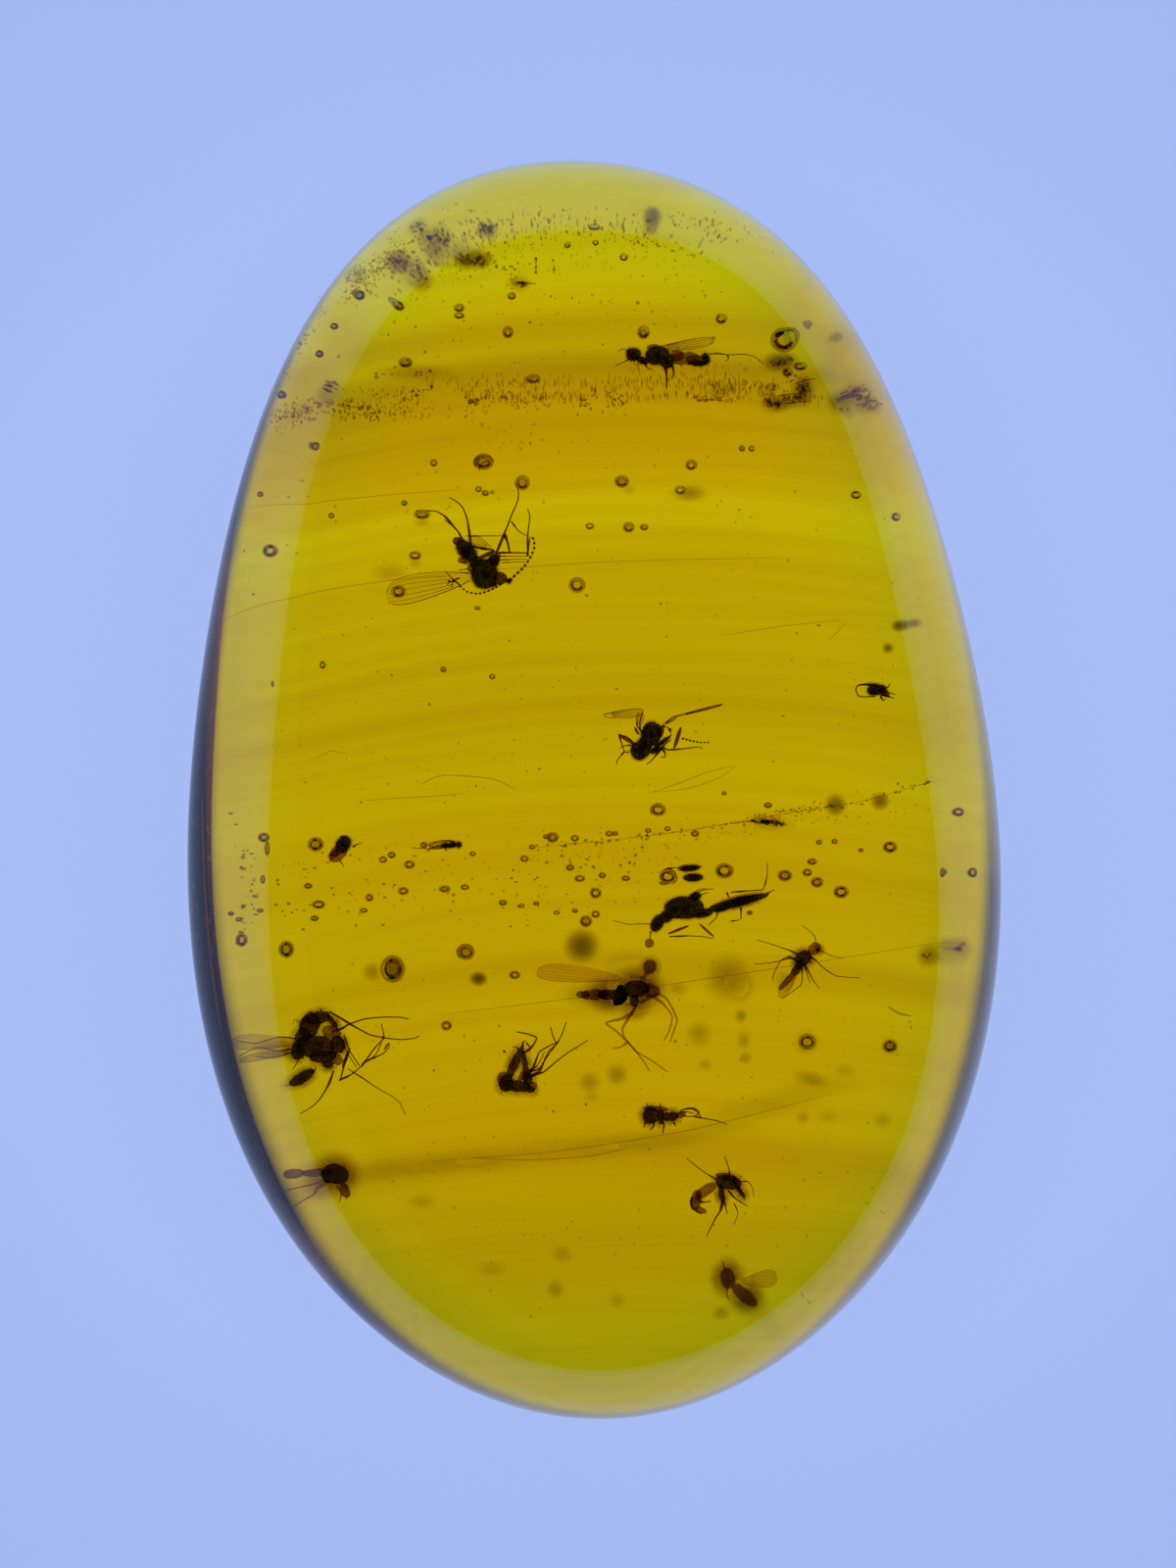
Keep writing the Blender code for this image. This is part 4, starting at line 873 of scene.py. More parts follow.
bigFly = {
    "node": "big_fly", "place": (-6.73, -6.3), "hairs": 130, "blur": 1,
    "lumps": [(-32, 32, 68, 53, 41, 62), (-12, 53, 68, 36, 41, 10), (24, 44, 44, 19, 29, -52),
        (-49, 5, 53, 44, 44, 80), (-19, -19, 102, 61, 58, 0), (-61, -29, 39, 53, 44, 0),
        (36, -15, 44, 49, 41, 0), (12, -63, 24, 34, 29, 90), (0, -44, 73, 34, 44, 5)],
    "pale": [(22, 17, 49, 32, 22, -20), (34, -49, 36, 27, 17, -40), (-41, 51, 49, 17, 22, 48)],
    "red": [(58, -46, 53, 8, 10, 68), (158, -17, 22, 5, 5, 55)],
    "legs": [
        (6.8, 3.6, [(23, 18), (49, 27), (63, 36), (102, 50), (146, 55), (191, 55), (213, 51)]),
        (6.3, 3.4, [(18, 68), (49, 50), (75, 34), (116, 12), (147, 5), (191, 0), (226, 3), (239, 10)]),
        (4.9, 3.2, [(151, 0), (151, 15), (145, 39)]),
        (7.8, 4.9, [(63, -34), (53, -66), (43, -103)]),
        (5.8, 3.9, [(41, -102), (67, -90), (83, -78), (95, -68)]),
        (6.8, 4.4, [(95, -68), (107, -52), (129, -21), (151, 3)]),
        (4.9, 3.4, [(107, -56), (120, -48), (134, -34), (146, -7)]),
        (4.9, 3.4, [(116, -50), (129, -45), (151, -34), (164, -19), (164, -10)]),
        (4.9, 3.9, [(53, 10), (67, -29), (91, -66)]),
        (4.4, 3.4, [(49, 0), (61, -34), (83, -68)]),
        (6.8, 2.9, [(27, -80), (14, -114), (-4, -145), (-22, -165), (-51, -185)]),
        (3.6, 2.4, [(63, -74), (98, -96), (138, -123), (169, -140), (191, -158), (204, -187)]),
        (4.9, 2.4, [(-56, -34), (-63, -58), (-73, -75)]),
        (3.9, 2.4, [(-63, 0), (-102, 5), (-141, -7), (-180, 0)]),
        (3.4, 2.4, [(-63, -19), (-97, -29), (-136, -17), (-170, -36)]),
        (3.4, 2.4, [(-68, -29), (-102, -44), (-141, -39)])],
    "feelers": [
        (4.4, 2.4, [(-58, 41), (-70, 49), (-75, 36)]),
        (4.4, 2.4, [(-2, 68), (-7, 78)])],
    "wings": [((-53, -12), (-194, -5), 49), ((-53, -27), (-175, -49), 24)]}
looseAbdomen = {
    "node": "loose_abdomen", "place": (-7.22, -7.28), "hairs": 10, "blur": 1,
    "lumps": [(0, 3, 70, 34, 27, 33, 5, 0.1)],
    "legs": [
        (7.3, 3.6, [(19, 15), (29, 19), (32, 29)]),
        (3.9, 2.4, [(-24, -15), (-34, -17)])]}
foldedMidge = {
    "node": "folded_midge", "place": (-1.94, -7.11), "lift": -0.1, "hairs": 60, "blur": 1,
    "lumps": [(-26, -27, 49, 41, 36, 70), (0, -34, 73, 34, 39, -8), (29, -41, 39, 22, 24, -20),
        (-4, 24, 97, 30, 22, 66, 4, 0.2), (21, 15, 83, 22, 19, 98, 4, 0.2), (27, -15, 39, 29, 29, 90)],
    "pale": [(-34, -19, 29, 39, 22, 10), (39, -34, 24, 22, 19, 0), (12, -10, 29, 15, 17, 70)],
    "legs": [
        (7.3, 3.6, [(19, -15), (39, -7), (58, 5), (70, 34), (80, 53), (97, 70), (90, 87), (83, 112)]),
        (6.3, 3.2, [(17, -22), (44, -7), (68, 2), (97, 27), (126, 49), (153, 66), (175, 80)]),
        (6.8, 4.4, [(12, 46), (29, 56), (41, 68), (49, 85), (36, 92), (17, 97), (0, 100)]),
        (6.3, 3.6, [(22, -2), (39, 10), (49, 34), (56, 51), (80, 66), (100, 75), (112, 97), (121, 124)]),
        (5.3, 3.2, [(29, 0), (49, 15), (61, 34), (68, 51)]),
        (5.3, 3.2, [(32, 0), (56, 10), (68, 29), (85, 53), (104, 78)]),
        (4.9, 2.9, [(24, 73), (32, 63), (32, 49)]),
        (5.8, 3.9, [(15, 61), (15, 75), (22, 78)]),
        (4.9, 3.2, [(7, 53), (0, 61), (-10, 63)]),
        (6.3, 4.9, [(-32, 53), (-27, 49)])]}
edgeGnat = {
    "node": "edge_gnat", "place": (-6.41, -9.73), "hairs": 30, "blur": 2,
    "lumps": [(0, 7, 80, 66, 39, -25)],
    "pale": [(-75, 21, 39, 22, 17, -12), (-36, 15, 49, 17, 12, -14), (22, -34, 39, 24, 12, -68)],
    "legs": [
        (5.3, 2.9, [(-19, -5), (-34, -9), (-63, -11), (-95, -15)]),
        (6.8, 2.9, [(-15, -10), (-28, -19), (-32, -32), (-53, -44), (-81, -61)]),
        (4.4, 2.7, [(2, -22), (12, -41), (12, -61)]),
        (4.4, 2.7, [(19, -17), (27, -36), (24, -58)])]}
brokenGnat = {
    "node": "broken_gnat", "place": (1.58, -8.21), "lift": -0.1, "hairs": 30, "blur": 1,
    "lumps": [(-22, 2, 46, 46, 36, 0), (2, 0, 22, 44, 32, 0), (24, 0, 49, 29, 27, 4, 2)],
    "pale": [(-10, 19, 63, 15, 22, -4), (53, 5, 24, 17, 15, 10)],
    "legs": [
        (6.8, 4.4, [(-17, -12), (-15, -24), (-24, -34)]),
        (6.8, 4.4, [(7, -12), (10, -24), (7, -41)]),
        (4.9, 3.4, [(51, 15), (70, 20), (90, 17), (97, 7), (83, 0), (61, 0), (51, 7)]),
        (4.9, 2.9, [(83, 0), (104, -4), (136, -10), (165, -19)]),
        (4.4, 3.2, [(80, 22), (92, 10), (101, -2)]),
        (4.4, 3.2, [(49, 10), (66, 12), (85, 7)]),
        (5.3, 2.9, [(-29, 22), (-32, 32)]),
        (5.3, 2.9, [(0, 22), (0, 32)]),
        (5.8, 2.9, [(-36, -15), (-39, -29)]),
        (5.3, 3.4, [(34, -15), (39, -24)])]}
curledGnat = {
    "node": "curled_gnat", "place": (3.17, -10.01), "lift": -0.1, "hairs": 40, "blur": 1,
    "lumps": [(10, 15, 70, 41, 39, -8), (-7, -12, 53, 21, 24, 100, 0, 0.2),
        (36, -2, 58, 19, 22, -56, 0, 0.3), (-66, -27, 12, 12, 12, 0)],
    "pale": [(-46, -5, 58, 27, 19, 32), (-70, -29, 53, 27, 19, 78), (-58, -53, 32, 15, 15, -25),
        (5, 29, 53, 19, 24, -8)],
    "legs": [
        (8.3, 6.3, [(-80, -22), (-81, -41), (-70, -56), (-56, -63)]),
        (8.3, 3.4, [(-2, -27), (-10, -56), (-22, -75), (-44, -119)]),
        (5.8, 4.4, [(-63, -32), (-49, -34), (-34, -32)]),
        (6.3, 3.4, [(10, -5), (24, -22), (41, -34), (58, -44)]),
        (5.8, 3.4, [(34, 2), (46, -12), (51, -27)]),
        (4.4, 2.7, [(-17, 22), (-39, 34), (-63, 51), (-92, 75)]),
        (4.4, 2.7, [(12, 27), (12, 44), (7, 63), (0, 80)]),
        (4.9, 2.9, [(0, -32), (5, -51), (7, -63)]),
        (3.6, 2.4, [(34, 17), (58, 17), (70, 0), (73, -22)]),
        (3.4, 2.4, [(24, -36), (34, -61), (24, -90)])]}
wingedGnat = {
    "node": "winged_gnat", "place": (3.58, -12.5), "lift": -0.2, "blur": 4,
    "pale": [(-32, 24, 53, 36, 29, 96), (10, -19, 78, 34, 27, -43, 4, 0.1)],
    "legs": [
        (5.8, 3.4, [(-34, 39), (-41, 53), (-46, 66)]),
        (4.9, 2.9, [(-32, 2), (-34, -17), (-27, -29)])],
    "wings": [((5, 17), (90, 32), 58)]}
brownPair = {
    "node": "brown_pair", "place": (8.39, -4.11), "lift": -0.1, "crowd": 8,
    "lumps": [(-21, -15, 34, 32, 22, 20), (20, 12, 13, 26, 12, 0)]}
barDebris = {
    "node": "bar_debris", "place": (4.78, 9.72), "crowd": 150,
    "lumps": [(-39, -17, 49, 22, 19, 8), (12, -2, 78, 19, 19, 6), (34, 24, 44, 53, 22, -15),
        (-53, -7, 24, 15, 15, 0)],
    "legs": [
        (3.4, 2.4, [(-27, 5), (7, 10), (41, 10)]),
        (3.4, 2.4, [(17, 36), (36, 44), (66, 49)]),
        (3.4, 2.4, [(-12, -15), (24, -10), (53, -10)])]}
smearDebris = {
    "node": "smear_debris", "place": (4.59, 10.63), "crowd": 130,
    "lumps": [(-17, -5, 29, 17, 17, 8), (7, 2, 44, 19, 17, 12)]}
edgeDebris = {
    "node": "edge_debris", "place": (6.14, 9.6), "crowd": 34,
    "lumps": [(-7, 0, 53, 36, 19, 0), (19, -22, 34, 24, 17, -30)]}
leftCrumb = {
    "node": "left_crumb", "place": (-4.49, 12.84), "crowd": 48,
    "lumps": [(-18, 4, 49, 34, 24, -15), (19, -17, 34, 36, 24, 0)]}
upperCrumb = {
    "node": "upper_crumb", "place": (-3.79, 13.46), "crowd": 70,
    "lumps": [(0, -2, 63, 49, 24, 20), (-41, 24, 36, 41, 19, 0)]}
barCrumb = {
    "node": "bar_crumb", "place": (-3.06, 13.16), "crowd": 120,
    "lumps": [(-17, -2, 41, 19, 17, 0), (17, 2, 44, 22, 19, 4)]}
darkCrumb = {
    "node": "dark_crumb", "place": (-1.9, 12.58), "crowd": 300,
    "lumps": [(0, 1, 39, 17, 17, -5)],
    "legs": [(4.9, 2.4, [(12, 2), (41, 0)])]}
flake = {
    "node": "flake", "place": (4.25, -0.9), "crowd": 480,
    "lumps": [(0, 0, 97, 16, 15, -6, 4, 0.2)],
    "legs": [(3.6, 2.4, [(-34, 2), (-63, 0), (-87, -5)])]}
darkLens = {
    "node": "dark_lens", "place": (2.34, -2.15),
    "lumps": [(5, -12, 49, 19, 19, 0), (-2, 11, 49, 15, 15, 6)],
    "pale": [(-19, 12, 29, 15, 12, 10)],
    "legs": [
        (3.4, 2.4, [(-58, 12), (-29, 11), (0, 7)]),
        (3.4, 2.4, [(15, 13), (28, 15)]),
        (3.9, 2.9, [(-68, 7), (-53, 10), (-39, 0), (-34, -17), (-44, -28)]),
        (3.9, 2.9, [(-75, -10), (-63, 0), (-49, -5)]),
        (3.9, 2.9, [(-78, -24), (-61, -28)])]}
animals = [
    largeMidge, wasp, longBodiedFly, beetleFragment, roundFly, slenderMidge, roveBeetle, spreadMidge,
    longLeggedMidge, bigFly, looseAbdomen, foldedMidge, edgeGnat, brokenGnat, curledGnat, wingedGnat,
    brownPair, barDebris, smearDebris, edgeDebris, leftCrumb, upperCrumb, barCrumb, darkCrumb, flake,
    darkLens,
]


def bubbleShapes():
    # where each bubble lies, its three half widths and its turn; they sit at uneven heights in the layer
    spots = np.array(rowsOf(marks, "clear"))
    lift = bubble["scatter"] * np.sin(bubble["step"] * np.arange(len(spots)))
    sizes = np.stack([spots[:, 2], spots[:, 3], spots[:, 2:4].mean(axis=1)], -1)
    return inLayer(spots[:, :2], lift), sizes, np.radians(spots[:, 4])


def bubbleSkin():
    # hollow ovals in the stone, with their faces turned into the hollow
    points, quads, triangles = copies(oval(*bubble["grid"]), *bubbleShapes())
    return points, quads[:, ::-1], triangles[:, ::-1]


def bubbleShadeRings():
    # painted shade: a slim brown ring round each bubble's middle, where the bubble's edge looks dark
    turn = circle(bubble["rimAround"])[:, None]
    side = circle(bubble["rimSides"])[None, :]
    out = 1 + bubble["rimWidth"] * np.cos(side)
    rings = np.stack([np.cos(turn) * out, np.sin(turn) * out,
                      bubble["rimWidth"] * np.sin(side) + 0 * turn], -1)
    index = np.arange(turn.size * side.size).reshape(turn.size, side.size)
    ahead = np.roll(index, -1, axis=0)
    quads = np.stack([index, ahead, np.roll(ahead, -1, axis=1), np.roll(index, -1, axis=1)], -1)
    rimSkin = outward((rings.reshape(-1, 3), quads.reshape(-1, 4), np.zeros((0, 3), int)))
    places, sizes, turns = bubbleShapes()
    return copies(rimSkin, places, bubble["rimReach"] * sizes, turns)


def bubbleFilms():
    # a thin brown film, a flat oval, across every other bubble
    places, sizes, turns = (part[::2] for part in bubbleShapes())
    return copies(oval(*bubble["filmGrid"]), places, sizes * bubble["film"], turns)


def hazeSkin():
    # brown clouds that fade outward, as deep as they are strong, at slightly uneven heights
    spots = np.array(rowsOf(marks, "hazy"))
    lift = cloud["scatter"] * np.sin(cloud["step"] * np.arange(len(spots))) - cloud["sink"]
    sizes = spots[:, [2, 3, 5]] * (haze["spread"], haze["spread"], cloud["depth"])
    return copies(softLens(cloud["around"]), inLayer(spots[:, :2], lift), sizes, np.radians(spots[:, 4]))


def dustSkin(kind, seed):
    # specks strewn along soft lines, each a small oval drawn out across the line
    dice = np.random.default_rng(seed)
    places, sizes = [], []
    for line, spread, width, length, count in rowsOf(marks, kind):
        path = softPath(line, speck["perSpan"])
        along = dice.random(count) * (len(path) - 1)
        flat = np.stack([np.interp(along, np.arange(len(path)), path[:, k]) for k in range(2)], -1)
        flat[:, 1] += spread * dice.normal(0, speck["spread"], count)
        places.append(inLayer(flat, dice.uniform(-speck["scatter"], speck["scatter"], count)))
        size = dice.uniform(*speck["size"], (count, 1)) * (width / 2, length / 2, width / 2)
        sizes.append(size * dice.uniform(*speck["stretch"], (count, 3)))
    places, sizes = np.concatenate(places), np.concatenate(sizes)
    return copies(oval(*speck["grid"]), places, sizes, dice.normal(0, speck["turn"], len(places)))


def threadSkin(kind):
    # fine lines in the stone: the threads are scratches and seams of flow, the arcs short dark curves, most
    # of them along a bubble's edge; each is fullest in the middle by a root of a sine
    skins = []
    for width, line in rowsOf(marks, kind):
        path = inLayer(softPath(line, thread["perSpan"]), -thread["sink"])
        full = np.sin(math.pi * np.linspace(0, 1, len(path)))**0.5
        taper = thread["end"] + (1 - thread["end"]) * full
        skins.append(tube(path, width * taper, thread["around"]))
    return joined(skins)


bubble = {
    "grid": (7, 14), "scatter": 0.5, "step": 2.4, "rimAround": 20, "rimSides": 6, "rimWidth": 0.13,
    "rimReach": 1.04, "filmGrid": (3, 12), "film": (0.86, 0.86, 0.2),
}
cloud = {"around": 24, "scatter": 0.1, "step": 3, "sink": 0.3, "depth": 0.3}
speck = {
    "grid": (3, 6), "perSpan": 12, "spread": 0.5, "scatter": 0.35, "size": (0.45, 1.3),
    "stretch": (0.6, 1.4),
    "turn": 0.08,                                     # in radians
}
thread = {"perSpan": 10, "sink": 0.3, "end": 0.35, "around": 5}
# Lengths are in hundredths of a millimetre. Clear bubbles: middle, half length, half width and turn. Hazy
# spots: the same and a strength. Bold and fine dust: a line, its spread, the specks' width and length and
# their number. Threads and arcs: a width and a line.
marks = {
    "clear": [(-319, -413, 19, 17, 2), (153, -59, 17, 14, -1), (-277, 810, 22, 18, -2),
        (208, 738, 12, 9.8, 1), (-4, 1391, 13, 4.1, -1), (-218, 1136, 12, 14, 2), (118, 1134, 14, 15, -5),
        (464, 1118, 29, 27, 6), (-471, 1060, 16, 12, -2), (-155, 1017, 16, 11, 0), (-339, 1198, 12, 9.9, -2),
        (-339, 1177, 12, 7.4, -1), (-486, 1202, 11, 10, -6), (310, 1170, 13, 12, 3),
        (-623, 1138, 9.8, 7.8, -14), (-543, 1200, 8.3, 11, -42), (-656, 1070, 9.3, 8.7, -14),
        (-745, 972, 17, 9.8, -22), (-681, 849, 5.2, 9.8, -20), (-400, 807, 8.4, 8.6, 21),
        (-471, 708, 7.2, 6.6, -5), (-289, 741, 7.7, 7, -3), (-272, 731, 8.6, 7, -1),
        (-255, 734, 4.8, 4.4, -4), (-428, 678, 18, 11, -1), (-444, 576, 14, 9.9, -1),
        (-290, 444, 7.2, 5.1, -1), (-46, 501, 18, 17, -1), (64, 760, 16, 14, 0), (235, 801, 13, 12, 3),
        (81, 645, 13, 12, 0), (-15, 648, 9.6, 7.8, 0), (119, 645, 9.6, 7.8, 0), (641, 729, 12, 9.8, 2),
        (706, 665, 4.7, 9.9, 17), (-783, 586, 14, 15, -33), (-776, 721, 5.9, 6.5, -34),
        (-653, 677, 7.3, 6.6, -3), (-181, 757, 16, 17, 2), (-672, 303, 7.3, 8.8, 1),
        (-374, 291, 7.2, 6.6, -1), (-253, 273, 7.2, 6.6, -2), (-788, 255, 2.2, 7.4, 0),
        (-485, 486, 16, 14, -3), (359, 844, 7.2, 7.4, -15), (384, 843, 7.2, 7.4, -18),
        (-689, -146, 18, 16, 0), (-803, -156, 4.5, 16, -1), (-106, -127, 14, 12, 0),
        (-51, -130, 9.6, 7.8, 0), (-122, -125, 7.2, 5.8, 1), (33, -118, 8.4, 6.8, 0),
        (48, -118, 7.2, 5.8, 0), (129, -110, 7.2, 5.8, -1), (243, -119, 9.5, 7.7, -1),
        (176, -106, 7.2, 5.8, -1), (423, -48, 9.6, 6.8, 0), (724, -154, 16, 13, -1),
        (549, -140, 7.3, 5.8, 0), (587, -139, 7.3, 5.8, 0), (652, -161, 6.3, 5, -1),
        (-302, -168, 7.2, 5.8, 1), (-156, -152, 7.2, 5.8, 1), (-175, -180, 9.6, 7.7, 1),
        (-63, -202, 9.6, 7.7, 0), (-39, -230, 12, 7.9, 0), (16, -221, 8.4, 6.8, 0), (0, -266, 13, 12, 0),
        (74, -229, 9.6, 6.8, 0), (316, -210, 20, 17, -1), (464, -224, 16, 13, -1), (520, -215, 11, 8.7, 0),
        (544, -240, 14, 12, -1), (603, -265, 17, 14, -1), (532, -188, 11, 7.6, 0), (-472, -262, 12, 9.1, 0),
        (-371, -256, 13, 8, 0), (-321, -251, 9.6, 6.8, 0), (-556, -279, 9.6, 8.7, 1),
        (-571, -309, 9.7, 5.8, 0), (-708, -250, 9.7, 6.8, 0), (-682, -296, 15, 10, 0),
        (-693, -329, 9.7, 6.8, 0), (-808, -234, 3.4, 9.9, 0), (-877, -317, 6.5, 5.1, -2),
        (-858, -332, 6.1, 5, -5), (-812, -311, 5.2, 5.1, -30), (-857, -382, 12, 15, 3),
        (-762, -408, 17, 19, -2), (-199, -469, 12, 9.7, 0), (-24, -335, 14, 13, 0), (0, -319, 9.6, 8.7, 0),
        (-228, -289, 9.6, 6.8, 0), (-182, -297, 7.2, 5.1, 0), (-146, -292, 7.2, 5.1, 0),
        (-96, -313, 7.2, 5.1, 0), (-51, -310, 7.2, 5.1, 0), (861, -69, 9.7, 10, 36), (848, -217, 4.1, 11, 0),
        (871, -220, 7.2, 11, 0), (-812, -128, 10, 11, -3), (-457, -196, 12, 9.7, 1),
        (-501, -172, 9.6, 7.8, 0), (-523, -183, 9.7, 7.8, 0), (-499, -456, 26, 29, -2),
        (521, -636, 19, 17, -3), (726, -648, 16, 14, -3), (-367, -596, 12, 11, 2), (315, -18, 6, 4.8, 0),
        (177, -225, 19, 17, -1), (167, -241, 9.6, 4.8, 0), (-1, 1361, 7.3, 6.7, 0),
        (-71, 1356, 7.3, 6.7, -1), (69, 1324, 9.7, 8.9, 0), (-209, 1227, 9.7, 8.9, -3),
        (-309, 961, 7.2, 5.2, -1), (474, 1035, 12, 9.8, 3), (504, 1052, 15, 10, 2),
        (-422, -147, 8.4, 7.6, 0)],
    "hazy": [(-34, -397, 34, 34, 1, 1.3), (326, -479, 46, 46, 11, 0.55), (-499, -456, 26, 29, -2, 0.7),
        (-288, -479, 17, 14, 1, 1.6), (836, -418, 30, 30, 1, 0.3), (203, -504, 20, 16, 0, 0.3),
        (357, -504, 29, 29, 13, 0.3), (254, -615, 26, 27, 6, 0.35), (52, -717, 22, 22, 3, 0.5),
        (-15, -736, 22, 22, 1, 0.4), (520, -638, 24, 24, 24, 0.5), (726, -649, 19, 20, 43, 0.4),
        (81, -438, 48, 24, 0, 0.2), (-99, -1252, 19, 20, -4, 0.4), (310, -1314, 19, 16, -1, 0.4),
        (134, -450, 22, 22, 1, 1.2), (93, -506, 72, 51, 0, 0.7), (-5, -518, 57, 29, 0, 0.6),
        (327, -1228, 31, 41, 1, 0.9), (373, -1275, 36, 33, -2, 0.9), (-547, -463, 22, 20, 2, 0.5),
        (589, -49, 22, 22, 13, 1.1), (700, -40, 19, 18, 0, 1), (747, 400, 15, 12, 1, 1.3),
        (720, 344, 12, 11, 2, 1), (-364, 1320, 33, 18, 23, 0.5), (-447, 1275, 38, 24, 30, 0.3),
        (613, 939, 13, 20, 32, 0.4), (454, 1063, 34, 21, 1, 0.9), (132, 1390, 19, 13, -24, 1.2),
        (-263, 1370, 20, 8, 10, 1.1), (229, 731, 36, 18, 0, 0.6), (-385, 1315, 23, 15, 36, 0.5),
        (-557, 1254, 29, 20, -31, 0.5), (-506, 535, 39, 20, -1, 0.25), (81, 740, 14, 10, 0, 0.2),
        (-444, 1036, 82, 18, -1, 0.35), (596, 957, 12, 29, 40, 0.5), (-641, 978, 13, 32, -28, 0.3),
        (-395, 1335, 22, 18, 39, 0.4), (-460, 1283, 25, 18, 27, 0.8), (-433, 1269, 21, 13, 42, 0.8),
        (-304, 1319, 41, 19, 0, 0.9), (-550, 1205, 9, 11, -29, 0.9), (-549, 1253, 13, 17, 40, 0.5),
        (309, 988, 34, 14, 0, 0.3), (432, 999, 22, 11, 1, 0.35), (542, 1096, 12, 11, -23, 0.6),
        (-644, -614, 24, 19, 1, 0.25), (-5, -518, 72, 22, 0, 0.4), (-773, -654, 37, 21, -6, 0.5),
        (465, -485, 22, 22, 21, 0.3), (-442, 557, 14, 12, -2, 0.3), (-427, 659, 17, 10, -1, 0.3),
        (202, 1084, 82, 21, 0, 0.25), (509, 983, 24, 30, -3, 0.6), (453, 958, 34, 17, 1, 0.7),
        (-82, -1164, 22, 18, 0, 0.3), (-428, -1036, 31, 16, 0, 0.25), (53, -1281, 19, 16, 0, 0.25),
        (-255, -1203, 34, 17, 0, 0.2), (-592, -966, 82, 25, 0, 0.14), (-510, -956, 82, 25, 0, 0.14),
        (-428, -947, 82, 25, 0, 0.14), (-346, -937, 82, 25, 0, 0.14), (-264, -928, 82, 25, 0, 0.14),
        (-182, -919, 82, 25, 0, 0.14), (-101, -910, 82, 25, 0, 0.14), (-19, -901, 81, 25, 0, 0.14),
        (62, -891, 81, 25, 0, 0.14), (144, -882, 82, 25, 0, 0.14), (225, -868, 82, 25, 0, 0.14),
        (307, -838, 82, 25, 0, 0.14), (389, -807, 82, 25, 0, 0.14), (470, -777, 82, 25, 0, 0.14),
        (552, -747, 82, 25, 0, 0.14), (357, -572, 12, 15, 0, 0.5), (364, -632, 14, 20, 0, 0.35),
        (369, -676, 12, 14, 0, 0.4), (270, -693, 16, 12, 0, 0.25), (530, -729, 36, 17, -15, 0.35),
        (613, -712, 24, 17, 0, 0.2), (511, -825, 14, 14, 0, 0.3), (573, -825, 20, 14, 0, 0.2),
        (708, -833, 17, 17, 0, 0.25), (-10, -772, 17, 12, 0, 0.2)],
    "bold": [
        ([(-529, 1269), (-463, 1289), (-388, 1314), (-258, 1311)], 40, 6.5, 7, 30),
        ([(-590, 1233), (-518, 1275), (-473, 1298)], 30, 6.5, 7, 20),
        ([(-282, 1372), (-264, 1375), (-246, 1378)], 15, 6.5, 6.5, 22),
        ([(-309, 961), (-290, 959)], 12, 7, 6, 16),
        ([(-40, 958), (-15, 955)], 12, 7, 6, 14),
        ([(38, 955), (71, 960)], 15, 7, 6.5, 16),
        ([(-149, 1325), (-149, 1276)], 7, 7, 5.5, 16),
        ([(-108, 1325), (-103, 1290)], 7, 6.5, 5.5, 10),
        ([(9, 1389), (81, 1379), (130, 1365)], 20, 6.5, 7, 16),
        ([(-258, 1301), (-185, 1276)], 25, 7, 7, 22),
        ([(-630, 959), (-569, 944), (-533, 924)], 22, 7.5, 7.5, 46),
        ([(-763, 901), (-702, 927), (-642, 959)], 25, 6, 7.5, 46),
        ([(-644, 984), (-630, 1003)], 10, 9, 8, 14),
        ([(-454, 982), (-401, 991)], 10, 9, 8, 14),
        ([(-328, 966), (-160, 960), (81, 955)], 32, 5.7, 7.5, 70),
        ([(-546, 1032), (-401, 1040)], 10, 10, 6.5, 14),
        ([(225, 966), (346, 966)], 10, 9, 6.5, 24),
        ([(418, 991), (466, 1007), (529, 1027)], 20, 6.5, 6, 26),
        ([(592, 967), (613, 963), (657, 942)], 35, 6, 6, 40),
        ([(-761, 977), (-736, 1052), (-683, 1125)], 20, 8.5, 8.5, 14),
        ([(-158, -154), (33, -135), (224, -111), (464, -70), (657, -39), (828, 10)], 10, 7, 5.5, 120),
        ([(368, -82), (464, -63), (560, -44)], 10, 7.5, 4.5, 30),
        ([(-857, -293), (-614, -293), (-326, -292), (-15, -292)], 65, 7.5, 6, 60),
        ([(-857, -185), (-614, -196), (-326, -184), (-15, -195)], 65, 7, 5.5, 40),
        ([(-87, -164), (-15, -183), (81, -195), (129, -135)], 50, 8.5, 6.5, 34),
        ([(-825, 447), (-445, 303), (33, 399), (760, 397)], 199, 6.5, 5.5, 26),
        ([(-835, 82), (-373, 10), (33, 59), (779, 83)], 150, 6.5, 5.5, 24),
        ([(-688, -621), (-134, -667), (369, -619), (851, -573)], 299, 6, 6, 16),
        ([(-873, -112), (-822, -233), (-856, -366)], 65, 8.5, 8, 30),
        ([(-318, 1363), (-16, 1399), (306, 1325)], 35, 8, 7.5, 40),
        ([(-725, 1222), (-450, 1159), (-112, 1182), (322, 1158)], 100, 7.5, 7.5, 34)],
    "fine": [
        ([(-319, 1355), (-111, 1385), (106, 1384), (345, 1343)], 35, 4.5, 6.5, 230),
        ([(-295, 1376), (-111, 1401), (214, 1376), (419, 1331)], 25, 4.5, 6, 110),
        ([(-390, 1307), (-209, 1325), (33, 1325), (275, 1326)], 55, 5, 6.5, 110),
        ([(-606, 1238), (-529, 1269), (-428, 1326), (-251, 1376)], 50, 6, 6, 170),
        ([(-587, 1211), (-518, 1268), (-431, 1301), (-258, 1355)], 60, 6.5, 8, 190),
        ([(-425, 1011), (-112, 1005), (226, 1010), (370, 996)], 22, 3.5, 15, 380),
        ([(-328, 976), (-112, 975), (225, 975), (563, 973)], 17, 4.5, 15, 260),
        ([(-762, 893), (-650, 945), (-545, 968), (-425, 977)], 32, 5.5, 7.5, 210),
